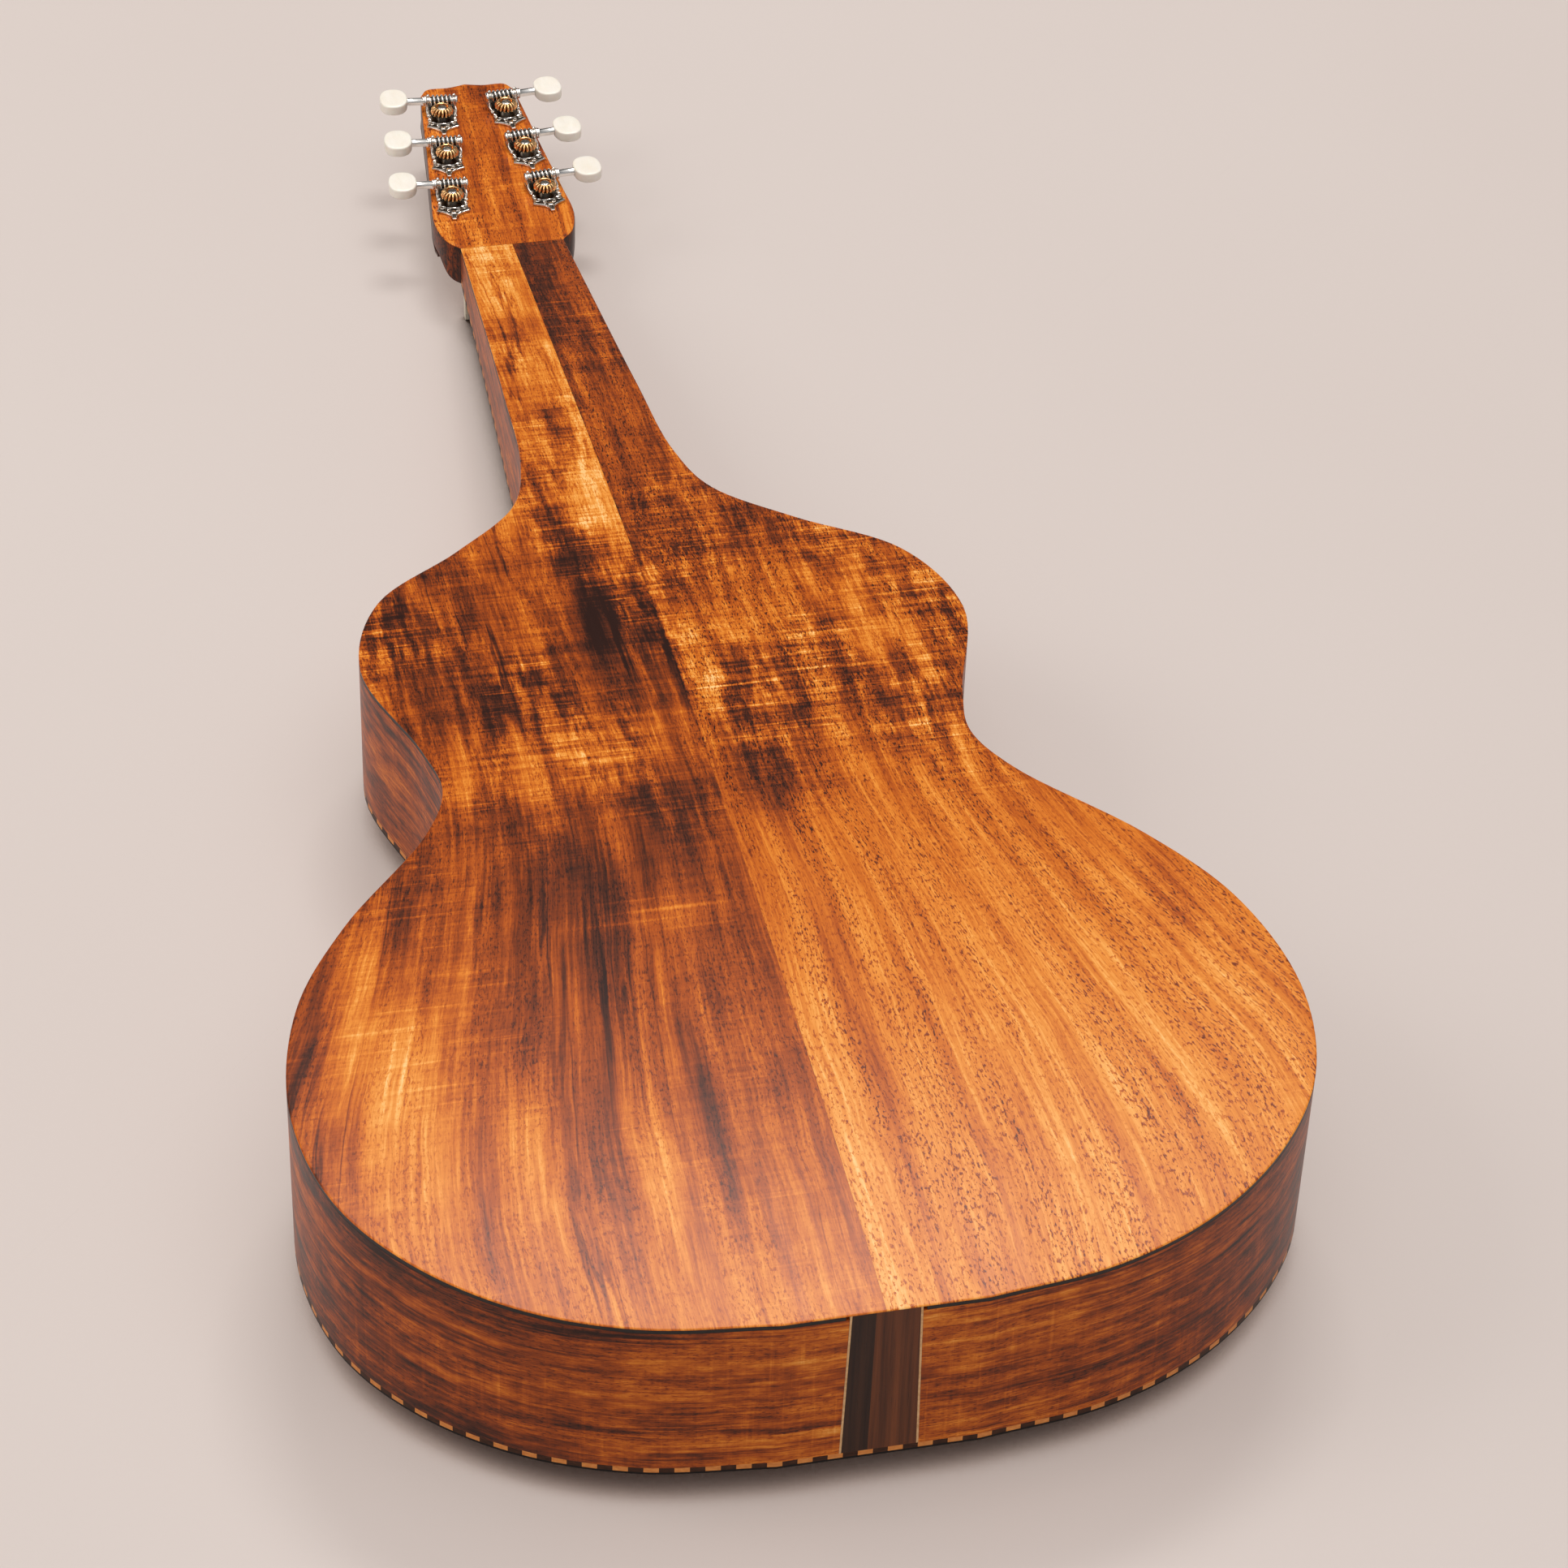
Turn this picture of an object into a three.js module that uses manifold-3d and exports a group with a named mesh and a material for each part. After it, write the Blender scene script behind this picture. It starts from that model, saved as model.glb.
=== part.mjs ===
// A hollow-neck lap steel guitar, lying face down on its saddle and nut.
//
// +Y runs from the tail to the headstock, +Z goes up through the back, and the origin is on
// the surface below the middle of its length. Inside this file y is measured from the tail
// and z from the outer face of the soundboard: z grows into the body, and the strings are
// below zero. The bass strings are on the +X side. All sizes are in millimetres.

import * as THREE from 'three';
import { mergeVertices } from 'three/addons/utils/BufferGeometryUtils.js';
import Module from 'manifold-3d';

const wasm = await Module();
wasm.setup();

// ---------------------------------------------------------------- driving dimensions

const RIDE_HEIGHT = 16; // soundboard above the surface: the height of saddle and nut
const FIT_GAP = 0.3; // room left between glued curved pieces
const JOINT_GAP = 0.1; // room left between flat glued pieces

// Half of the body's outline, from the flat of the tail round to the neck's end: [x, y].
const OUTLINE = [
  [38, 0], [88, 7], [129, 24], [163, 52], [185, 86], [194, 134], [184, 189], [160, 233],
  [120, 285], [109, 313], [113, 342], [129, 404], [114, 456], [75, 491], [45, 524],
  [35, 560], [31, 630], [25.5, 789],
];
const OUTLINE_STEPS = 3; // chords between two outline points
const NECK_END = 789; // joint of neck and headstock

// Height of the back above the soundboard: a cubic along the length, in units of 800 mm.
const ARCH_SPAN = 800;
const ARCH = [74.7, 62.1, -173.7, 57.2];
const LAP_REST = { y: 158.5, half: 8.5 }; // the crown of the back is level here

const BOARD_THICKNESS = 2.8;
const BACK_THICKNESS = 2.8;
const SIDE_THICKNESS = 2.2;
const BINDING = { width: 2.1, height: 3.8 };
const LINING = { width: 6, height: 10, end: 738 };

const SOUNDHOLE = { y: 318, radius: 46 };
const WEDGE = { back: 12.5, front: 14, strip: 1.1 }; // half widths, and the light strip beside

const TAIL_BLOCK = { half: 36, depth: 24 };
const NECK_BLOCK = { start: 752, half: 22.5, overlap: 3 };

const SCALE_LENGTH = 635;
const SADDLE = { y: 147, thickness: 3, half: 31, depth: 4 };
const NUT = { y: SADDLE.y + SCALE_LENGTH, thickness: 5, half: 24.8 };
const BRIDGE = {
  thickness: 8, front: 156, back: 125, half: 42, shoulder: 6, shoulderHalf: 7, wing: 74, tip: 4,
  tipReach: 5,
};
const PIN = { y: 134, radius: 2.5, head: 3.6, hole: 2.9, rise: 3, length: 19 };
const FINGERBOARD = { start: 367, thickness: 3, nutHalf: 24.9, endHalf: 31 };

const STRING_DIAMETERS = [0.6, 0.6, 0.66, 0.9, 1.14, 1.42]; // treble to bass
const NUT_SPACING = 8.4;
const SADDLE_SPACING = 10.8;
const STRING_CLEARANCE = 0.3;
const STRING = { start: 4.7, pinGap: 0.1, saddleBend: 1, nutBend: 0.4, postGap: 1.2, postShort: 3 };

// Braces: half lengths across, [from, to] along y, and heights above the inner faces.
const CROSS_BRACE = { y: 222, slope: 0.68, up: 163, down: 172, width: 7, height: 9 };
const UPPER_BAR = { half: 112, along: [382, 390], height: 9 };
const BRIDGE_PLATE = { half: 60, along: [124, 162], height: 2.5 };
const TONE_BAR = { half: 96, along: [84, 90], height: 6 };
const LADDER = { places: [58, 190, 300, 420], half: 4, height: 11 };
const SEAM_STRIP = { start: 30, step: 29, count: 25, half: 9, thickness: 2.4 };

// The headstock: [x, y] of half its outline, its back and front faces, and its ramp.
const HEAD_OUTLINE = [
  [25.5, NECK_END + JOINT_GAP], [31.5, 796.5], [35, 812], [33.2, 835], [29.3, 873], [25.6, 914],
  [24, 927], [20, 932.6], [9, 933], [0, 935],
];
const HEAD_LENGTH_END = 935;
const HEAD_TILT = THREE.MathUtils.degToRad(2);
const HEAD_THICKNESS = 14;
const HEAD_RAMP = { start: 791, end: 806 };
const VENEER_THICKNESS = 1.5;

// Tuners: the gear's centres, first the pair next to the nut, and the pieces of each.
const TUNER = {
  count: 3, y: 828.8, x: 23.2, stepY: 37.6, stepX: -3.4, splay: THREE.MathUtils.degToRad(5.2),
};
const PLATE = {
  thickness: 1.2, half: 8.1, tip: -15.5, corner: -8.3, end: 11.6,
  edge: [[7.7, 3], [6.7, -1], [7.1, -5]], scallop: [3.4, -9.5],
};
const LUG = { inner: 5.8, outer: 7.4, half: 2.6, top: 8.3 };
const GEAR = { teeth: 16, outer: 5.75, root: 4.9, bore: 1.8, recess: 3, low: 3.45, high: 7.6 };
const WORM = {
  axisZ: 5.5, crest: 3.3, core: 2.25, turns: 5, journal: 1.9, engagement: 0.65,
  threadRoot: 1.95, threadHalf: 0.6,
};
const SHAFT = { radius: 2, end: 17 };
const COLLAR = { innerRadius: 2.6, innerWidth: 1.2, outerRadius: 2.8, outerWidth: 1.8 };
const BUTTON = { along: 14.4, across: 17.8, thickness: 4.6, bevel: 0.5 };
const POST = { radius: 3, waist: 2.4, hole: 3.35, waistTop: -20, waistLow: -24, end: -29 };
const POST_SCREW = { radius: 2.3, stub: 1.5, top: 7.2, head: 0.9 };

const WORM_Y = GEAR.outer + WORM.crest - WORM.engagement;
const GEAR_PITCH_RADIUS = GEAR.outer - WORM.engagement / 2;
const WORM_PITCH = 2 * Math.PI * GEAR_PITCH_RADIUS / GEAR.teeth;

// ---------------------------------------------------------------- materials

const finish = (color, roughness, metalness = 0) =>
  new THREE.MeshStandardMaterial({ color, roughness, metalness });

const MATERIALS = {
  koaGold: finish('#b8742c', 0.35),
  koaRed: finish('#8a4a1f', 0.35),
  koaSide: finish('#6a3c1e', 0.4),
  koaHead: finish('#a8612a', 0.4),
  spruce: finish('#c99a5b', 0.6),
  rosewood: finish('#2e1a12', 0.4),
  checker: finish('#8a7350', 0.45),
  bone: finish('#e9dfc6', 0.4),
  cream: finish('#eee6d0', 0.35),
  nickel: finish('#c9c6bf', 0.22, 1),
  bronze: finish('#c08a4a', 0.3, 1),
  steel: finish('#b9b6b0', 0.3, 1),
  wound: finish('#b08d57', 0.35, 1),
};

// ---------------------------------------------------------------- geometry helpers

const point = (x, y, z = 0) => new THREE.Vector3(x, y, z);

// Turns a closed triangle soup's faces outward.
function outward(corners) {
  let volume = 0;
  for (let i = 0; i < corners.length; i += 3) {
    volume += corners[i].dot(corners[i + 1].clone().cross(corners[i + 2]));
  }
  const ordered = volume < 0 ? corners.reverse() : corners;
  const geometry = new THREE.BufferGeometry().setFromPoints(ordered);
  geometry.computeVertexNormals();
  return geometry;
}

// Joins equal rings of points into one closed skin with flat ends.
function loft(sections) {
  const corners = [];
  const count = sections[0].length;
  for (let s = 0; s + 1 < sections.length; s += 1) {
    for (let k = 0; k < count; k += 1) {
      const a = sections[s][k];
      const b = sections[s][(k + 1) % count];
      const c = sections[s + 1][(k + 1) % count];
      const d = sections[s + 1][k];
      corners.push(a, b, c, a, c, d);
    }
  }
  const first = sections[0];
  const last = sections[sections.length - 1];
  for (let k = 1; k + 1 < count; k += 1) {
    corners.push(first[0], first[k + 1], first[k]);
    corners.push(last[0], last[k], last[k + 1]);
  }
  return outward(corners);
}

function toSolid(geometry) {
  const bare = geometry.clone();
  bare.deleteAttribute('normal');
  bare.deleteAttribute('uv');
  const merged = mergeVertices(bare);
  return new wasm.Manifold(new wasm.Mesh({
    numProp: 3,
    vertProperties: new Float32Array(merged.attributes.position.array),
    triVerts: new Uint32Array(merged.index.array),
  }));
}

function toGeometry(solid) {
  const mesh = solid.getMesh();
  const geometry = new THREE.BufferGeometry();
  geometry.setAttribute('position', new THREE.BufferAttribute(mesh.vertProperties, 3));
  geometry.setIndex(new THREE.BufferAttribute(mesh.triVerts, 1));
  geometry.computeVertexNormals();
  return geometry;
}

const joined = (geometries) => geometries.map(toSolid).reduce((all, one) => all.add(one));
const cut = (solid, geometries) => (
  geometries.map(toSolid).reduce((rest, one) => rest.subtract(one), solid)
);

// A block between two corners.
function block(x0, x1, y0, y1, z0, z1) {
  const geometry = new THREE.BoxGeometry(x1 - x0, y1 - y0, z1 - z0);
  return geometry.translate((x0 + x1) / 2, (y0 + y1) / 2, (z0 + z1) / 2);
}

// A plate of the outline [x, y], between two heights.
function plate(outline, z0, z1, holes = []) {
  const shape = new THREE.Shape(outline.map(([x, y]) => new THREE.Vector2(x, y)));
  for (const [x, y, radius] of holes) {
    shape.holes.push(new THREE.Path().absarc(x, y, radius, 0, 2 * Math.PI, true));
  }
  const steps = { depth: z1 - z0, bevelEnabled: false, curveSegments: 10 };
  return new THREE.ExtrudeGeometry(shape, steps).translate(0, 0, z0);
}

// A bar across the instrument with the side view [y, z].
function bar(profile, half) {
  const shape = new THREE.Shape(profile.map(([y, z]) => new THREE.Vector2(y, z)));
  const geometry = new THREE.ExtrudeGeometry(shape, { depth: 2 * half, bevelEnabled: false });
  const turn = new THREE.Matrix4().makeBasis(point(0, 1, 0), point(0, 0, 1), point(1, 0, 0));
  return geometry.translate(0, 0, -half).applyMatrix4(turn);
}

// A round peg along Z, from z0 up to z1.
function peg(radius, z0, z1, sides = 12) {
  const geometry = new THREE.CylinderGeometry(radius, radius, z1 - z0, sides);
  return geometry.rotateX(Math.PI / 2).translate(0, 0, (z0 + z1) / 2);
}

// A turned piece about Z, from the [radius, z] of its profile, which starts and ends on the axis.
function turned(profile, sides) {
  const points = profile.map(([radius, z]) => new THREE.Vector2(radius, z));
  return new THREE.LatheGeometry(points, sides).rotateX(Math.PI / 2);
}

// ---------------------------------------------------------------- shape of the body

const smooth = (points, steps) => new THREE.CatmullRomCurve3(
  points.map(([x, y]) => point(x, y)), false, 'centripetal',
).getPoints((points.length - 1) * steps);

const halfOutline = [point(0, 0), point(20, 0), ...smooth(OUTLINE, OUTLINE_STEPS)];

// The half outline moved inwards by an inset.
function insetOutline(inset) {
  return halfOutline.map((here, i) => {
    const before = halfOutline[Math.max(i - 1, 0)];
    const after = halfOutline[Math.min(i + 1, halfOutline.length - 1)];
    const along = after.clone().sub(before).normalize();
    if (i < 3) along.set(1, 0, 0);
    if (i === halfOutline.length - 1) along.set(0, 1, 0);
    return point(here.x - inset * along.y, here.y + inset * along.x);
  });
}

const mirrored = (points) => points.map((p) => point(-p.x, p.y, p.z));

// The whole outline, from the treble side of the neck's end round the tail to the bass side.
function ringOutline(inset) {
  const half = insetOutline(inset);
  return [...mirrored(half.slice(1)).reverse(), ...half];
}

// Half the body's width at y, or that of the room inside an inset.
function halfWidth(y, inset = 0) {
  const edge = insetOutline(inset);
  const next = Math.max(1, edge.findIndex((p) => p.y > y));
  const a = edge[next - 1];
  const b = edge[next];
  return a.x + (b.x - a.x) * (y - a.y) / (b.y - a.y);
}

// Outer face of the back above the soundboard's outer face.
function backHeight(y) {
  const level = Math.abs(y - LAP_REST.y) <= LAP_REST.half ? LAP_REST.y : y;
  const t = level / ARCH_SPAN;
  return ARCH[0] + t * (ARCH[1] + t * (ARCH[2] + t * ARCH[3]));
}

const underBack = (y) => backHeight(y) - BACK_THICKNESS - FIT_GAP;

// A strip that follows outlines, between two insets and two heights.
function strip(outer, inner, low, high) {
  return loft(outer.map((a, i) => {
    const b = inner[i];
    return [
      point(a.x, a.y, low(a.y)), point(b.x, b.y, low(b.y)),
      point(b.x, b.y, high(b.y)), point(a.x, a.y, high(a.y)),
    ];
  }));
}

const headBack = (y) => backHeight(NECK_END) + Math.tan(HEAD_TILT) * (y - NECK_END);

// ---------------------------------------------------------------- body

function soundboard() {
  const edge = ringOutline(BINDING.width + FIT_GAP).map((p) => [p.x, p.y]);
  const solid = toSolid(plate(edge, 0, BOARD_THICKNESS));
  const hole = peg(SOUNDHOLE.radius, -1, BOARD_THICKNESS + 1, 40).translate(0, SOUNDHOLE.y, 0);
  return toGeometry(cut(solid, [hole, ...pinHoles()]));
}

// One half of the back: flat across, arched along.
function backHalf(side) {
  const ends = [LAP_REST.y - LAP_REST.half, LAP_REST.y + LAP_REST.half];
  const stations = [...halfOutline.slice(2).map((p) => p.y), ...ends].sort((a, b) => a - b);
  return loft(stations.map((y, i) => {
    const x = side * (i === 0 ? OUTLINE[0][0] : halfWidth(Math.min(y, NECK_END - 1e-6)));
    const top = backHeight(y);
    const low = top - BACK_THICKNESS;
    return [point(0, y, low), point(x, y, low), point(x, y, top), point(0, y, top)];
  }));
}

const wedgeOutline = (extra, low, high) => [
  [-WEDGE.front - extra, low], [WEDGE.front + extra, low],
  [WEDGE.back + extra, high], [-WEDGE.back - extra, high],
];

// The wedge's outline is [x, z]: it stands up and is as deep as the sides are thick.
function standing(outline, depth) {
  return plate(outline, -depth, 0).rotateX(Math.PI / 2);
}

function sideRib(side) {
  const outer = insetOutline(0);
  const inner = insetOutline(SIDE_THICKNESS);
  const place = (points) => (side > 0 ? points : mirrored(points));
  const rib = strip(place(outer), place(inner), () => BINDING.height, underBack);
  const slot = standing(wedgeOutline(WEDGE.strip, 0, backHeight(0)), SIDE_THICKNESS + 2);
  return toGeometry(cut(toSolid(rib), [slot.translate(0, -1, 0)]));
}

function tailWedge() {
  return standing(wedgeOutline(0, BINDING.height, underBack(0)), SIDE_THICKNESS);
}

function binding() {
  return strip(ringOutline(0), ringOutline(BINDING.width), () => 0, () => BINDING.height);
}

function lining(low, high) {
  const kept = (p) => p.y <= LINING.end;
  const inset = SIDE_THICKNESS + FIT_GAP;
  const outer = ringOutline(inset);
  const inner = ringOutline(inset + LINING.width);
  const inside = outer.map(kept);
  return strip(outer.filter((p, i) => inside[i]), inner.filter((p, i) => inside[i]), low, high);
}

const topLining = () => lining(
  () => BINDING.height + FIT_GAP, () => BINDING.height + FIT_GAP + LINING.height,
);
const backLining = () => lining(
  (y) => underBack(y) - FIT_GAP - LINING.height, (y) => underBack(y) - FIT_GAP,
);

// The tail block reaches the sides between the two linings.
function tailBlock() {
  const near = SIDE_THICKNESS + FIT_GAP;
  const far = near + LINING.width + FIT_GAP;
  const low = BOARD_THICKNESS + JOINT_GAP;
  const overTop = BINDING.height + LINING.height + 2 * FIT_GAP;
  const top = underBack(0) - FIT_GAP;
  const underLining = top - LINING.height - FIT_GAP;
  const profile = [
    [near, overTop], [far, overTop], [far, low], [TAIL_BLOCK.depth, low], [TAIL_BLOCK.depth, top],
    [far, top], [far, underLining], [near, underLining],
  ];
  return bar(profile, TAIL_BLOCK.half);
}

// A straight brace between two points of the soundboard's or the back's inner face.
function brace(x0, y0, x1, y1, width, z0, z1) {
  const length = Math.hypot(x1 - x0, y1 - y0);
  const geometry = block(-length / 2, length / 2, -width / 2, width / 2, z0, z1);
  return geometry.rotateZ(Math.atan2(y1 - y0, x1 - x0)).translate((x0 + x1) / 2, (y0 + y1) / 2, 0);
}

// Crossed braces, a bar above the soundhole and the plate under the bridge, glued together.
function topBracing() {
  const low = BOARD_THICKNESS + JOINT_GAP;
  const { y, slope, up, down, width, height } = CROSS_BRACE;
  const arms = [-1, 1].map((side) => brace(
    -side * slope * down, y - down, side * slope * up, y + up, width, low, low + height,
  ));
  const bars = [UPPER_BAR, BRIDGE_PLATE, TONE_BAR].map(({ half, along, height: rise }) => (
    block(-half, half, along[0], along[1], low, low + rise)
  ));
  return toGeometry(cut(joined([...arms, ...bars]), pinHoles()));
}

// Ladder braces under the back, tied by the strip along its centre seam.
function backBracing() {
  const edge = SIDE_THICKNESS + LINING.width + 2 * FIT_GAP;
  const glued = (y) => underBack(y) - FIT_GAP;
  const ladder = LADDER.places.map((y) => {
    const y0 = y - LADDER.half;
    const y1 = y + LADDER.half;
    const half = Math.min(halfWidth(y0, edge), halfWidth(y1, edge));
    const top = Math.min(glued(y0), glued(y1));
    return block(-half, half, y0, y1, top - LADDER.height, top);
  });
  const { start, step, count, half: stripHalf, thickness } = SEAM_STRIP;
  const stations = Array.from({ length: count }, (_, i) => start + i * step);
  const top = stations.map((y) => [y, glued(y)]);
  const low = stations.map((y) => [y, glued(y) - thickness]).reverse();
  return toGeometry(joined([...ladder, bar([...top, ...low], stripHalf)]));
}

// ---------------------------------------------------------------- neck and headstock

function headPlan(z0, z1) {
  const half = smooth(HEAD_OUTLINE, 2).map((p) => [p.x, p.y]);
  const other = half.slice(0, -1).map(([x, y]) => [-x, y]).reverse();
  return toSolid(plate([...half, ...other], z0, z1));
}

function postHoles() {
  return tunerPlaces().map((place) => {
    const hole = peg(POST.hole, -HEAD_THICKNESS - 6, 4);
    return hole.applyMatrix4(tunerMatrix(place));
  });
}

// The headstock is one piece with the block that fills the end of the hollow neck.
function headstock() {
  const start = NECK_END + JOINT_GAP;
  const tip = HEAD_LENGTH_END + 1;
  const front = (y) => headBack(y) - HEAD_THICKNESS;
  const sideView = [
    [start, 0], [HEAD_RAMP.start, 0], [HEAD_RAMP.end, front(HEAD_RAMP.end)], [tip, front(tip)],
    [tip, headBack(tip)], [start, headBack(start)],
  ];
  const head = headPlan(-5, 40).intersect(toSolid(bar(sideView, 60)));
  const blockLow = BOARD_THICKNESS + JOINT_GAP;
  const blockEnd = start + NECK_BLOCK.overlap;
  const blockView = [
    [NECK_BLOCK.start, blockLow], [blockEnd, blockLow],
    [blockEnd, underBack(blockEnd) - FIT_GAP],
    [NECK_BLOCK.start, underBack(NECK_BLOCK.start) - FIT_GAP],
  ];
  return toGeometry(cut(head.add(toSolid(bar(blockView, NECK_BLOCK.half))), postHoles()));
}

function headVeneer() {
  const back = (y) => headBack(y) - HEAD_THICKNESS - FIT_GAP;
  const start = HEAD_RAMP.end + 1;
  const tip = HEAD_LENGTH_END + 1;
  const sideView = [
    [start, back(start) - VENEER_THICKNESS], [tip, back(tip) - VENEER_THICKNESS],
    [tip, back(tip)], [start, back(start)],
  ];
  const sheet = headPlan(-5, 40).intersect(toSolid(bar(sideView, 60)));
  return toGeometry(cut(sheet, postHoles()));
}

function fingerboard() {
  const end = NUT.y - JOINT_GAP;
  const outline = [
    [-FINGERBOARD.endHalf, FINGERBOARD.start], [FINGERBOARD.endHalf, FINGERBOARD.start],
    [FINGERBOARD.nutHalf, end], [-FINGERBOARD.nutHalf, end],
  ];
  return plate(outline, -FINGERBOARD.thickness, 0);
}

// ---------------------------------------------------------------- bridge, nut and strings

const stringAt = (spacing, index) => (index - 2.5) * spacing;

// Slots for the strings, open towards the strings' side.
function stringSlots(spacing, y0, y1) {
  return STRING_DIAMETERS.map((diameter, index) => {
    const half = diameter / 2 + STRING_CLEARANCE;
    const x = stringAt(spacing, index);
    const top = -RIDE_HEIGHT + diameter + 2 * STRING_CLEARANCE;
    return block(x - half, x + half, y0 - 1, y1 + 1, -RIDE_HEIGHT - 1, top);
  });
}

function nut() {
  const { y, thickness, half } = NUT;
  const profile = [
    [y, 0], [y, -RIDE_HEIGHT + 1], [y + 1, -RIDE_HEIGHT], [y + thickness - 1, -RIDE_HEIGHT],
    [y + thickness, -RIDE_HEIGHT + 1], [y + thickness, 0],
  ];
  return toGeometry(cut(toSolid(bar(profile, half)), stringSlots(NUT_SPACING, y, y + thickness)));
}

function saddle() {
  const low = SADDLE.y - SADDLE.thickness / 2;
  const high = SADDLE.y + SADDLE.thickness / 2;
  const seat = -BRIDGE.thickness + SADDLE.depth - JOINT_GAP;
  const profile = [
    [low, seat], [low, -RIDE_HEIGHT + 0.6], [low + 0.6, -RIDE_HEIGHT],
    [high - 0.6, -RIDE_HEIGHT], [high, -RIDE_HEIGHT + 0.6], [high, seat],
  ];
  return toGeometry(cut(toSolid(bar(profile, SADDLE.half)), stringSlots(SADDLE_SPACING, low, high)));
}

const pinPlaces = () => STRING_DIAMETERS.map((_, index) => stringAt(SADDLE_SPACING, index));

function pinHoles() {
  return pinPlaces().map((x) => {
    const hole = peg(PIN.hole, -BRIDGE.thickness - 1, PIN.length, 8);
    return hole.translate(x, PIN.y, 0);
  });
}

// A bridge with pointed wings, slotted for the saddle.
function bridge() {
  const { front, back, half, shoulder, shoulderHalf, wing, tip, tipReach } = BRIDGE;
  const middle = (front + back) / 2;
  const right = [
    [half, back], [half + shoulder, middle - shoulderHalf], [wing, middle - tip],
    [wing + tipReach, middle], [wing, middle + tip], [half + shoulder, middle + shoulderHalf],
    [half, front],
  ];
  const left = right.map(([x, y]) => [-x, y]).reverse();
  const solid = toSolid(plate([...right, ...left], -BRIDGE.thickness, 0));
  const slotHalf = SADDLE.thickness / 2 + JOINT_GAP;
  const slotEnd = SADDLE.half + JOINT_GAP;
  const slot = block(
    -slotEnd, slotEnd, SADDLE.y - slotHalf, SADDLE.y + slotHalf,
    -BRIDGE.thickness - 1, -BRIDGE.thickness + SADDLE.depth,
  );
  return toGeometry(cut(solid, [slot, ...pinHoles()]));
}

function bridgePin() {
  const face = -BRIDGE.thickness - JOINT_GAP;
  const profile = [
    [0, face - PIN.rise], [PIN.head * 0.7, face - PIN.rise * 0.8], [PIN.head, face - 1],
    [PIN.head, face], [PIN.radius, face], [PIN.radius * 0.75, face + PIN.length],
    [0, face + PIN.length],
  ];
  return turned(profile, 8);
}

// A string from its pin, over the saddle and the nut, to the side of its post.
function string(index) {
  const diameter = STRING_DIAMETERS[index];
  const radius = diameter / 2;
  const z = -RIDE_HEIGHT + STRING_CLEARANCE + radius;
  const side = index < 3 ? -1 : 1;
  const place = tunerPlaces().find((one) => one.side === side && one.number === stringNumber(index));
  const post = point(0, 0, (POST.waistTop + POST.waistLow) / 2).applyMatrix4(tunerMatrix(place));
  const x0 = stringAt(SADDLE_SPACING, index);
  const x1 = stringAt(NUT_SPACING, index);
  const route = [
    point(x0, PIN.y + STRING.start + radius, -BRIDGE.thickness - radius - STRING.pinGap),
    point(x0, SADDLE.y - SADDLE.thickness / 2 - STRING.saddleBend, z),
    point(x1, NUT.y + NUT.thickness + STRING.nutBend, z),
    point(post.x - side * (POST.waist + STRING.postGap + radius), post.y - STRING.postShort, post.z),
  ];
  const sides = 6;
  return loft(route.map((here) => Array.from({ length: sides }, (_, k) => {
    const angle = 2 * Math.PI * k / sides;
    return point(here.x + radius * Math.cos(angle), here.y, here.z + radius * Math.sin(angle));
  })));
}

// The outermost strings go to the tuners next to the nut.
const stringNumber = (index) => (index < 3 ? index + 1 : 6 - index);

// ---------------------------------------------------------------- tuners

// Tuner 1 is next to the nut and tuner 3 next to the tip, on each side.
function tunerPlaces() {
  const places = [];
  for (const side of [-1, 1]) {
    for (let number = 1; number <= TUNER.count; number += 1) {
      places.push({ side, number });
    }
  }
  return places;
}

// A tuner's own frame: its gear's axis on Z, the worm towards the tip, the back face at z = 0.
function tunerMatrix({ side, number }) {
  const x = side * (TUNER.x + TUNER.stepX * (number - 1));
  const y = TUNER.y + TUNER.stepY * (number - 1);
  const tilt = new THREE.Matrix4().makeRotationX(HEAD_TILT);
  const splay = new THREE.Matrix4().makeRotationZ(side * TUNER.splay);
  return new THREE.Matrix4().makeTranslation(x, y, headBack(y)).multiply(tilt).multiply(splay);
}

// A base plate with two scallops that meet in a point, and two lugs for the worm.
function tunerPlate() {
  const { half, corner, tip, end, edge, thickness } = PLATE;
  const scallop = new THREE.QuadraticBezierCurve(
    new THREE.Vector2(half, corner), new THREE.Vector2(...PLATE.scallop), new THREE.Vector2(1, tip),
  ).getPoints(4).map((p) => [p.x, p.y]);
  const right = [[edge[0][0], end], ...edge, ...scallop];
  const left = right.map(([x, y]) => [-x, y]).reverse();
  const base = plate([...left, ...right].reverse(), JOINT_GAP, JOINT_GAP + thickness);
  const lugs = [-1, 1].map((way) => {
    const x0 = Math.min(way * LUG.inner, way * LUG.outer);
    return block(x0, x0 + LUG.outer - LUG.inner, WORM_Y - LUG.half, WORM_Y + LUG.half, 0.5, LUG.top);
  });
  const postHole = peg(POST.hole, -1, 3);
  const shaftHole = peg(WORM.journal + FIT_GAP, -10, 10, 8).rotateY(Math.PI / 2);
  return toGeometry(cut(joined([base, ...lugs]), [
    postHole, shaftHole.translate(0, WORM_Y, WORM.axisZ),
  ]));
}

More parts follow.
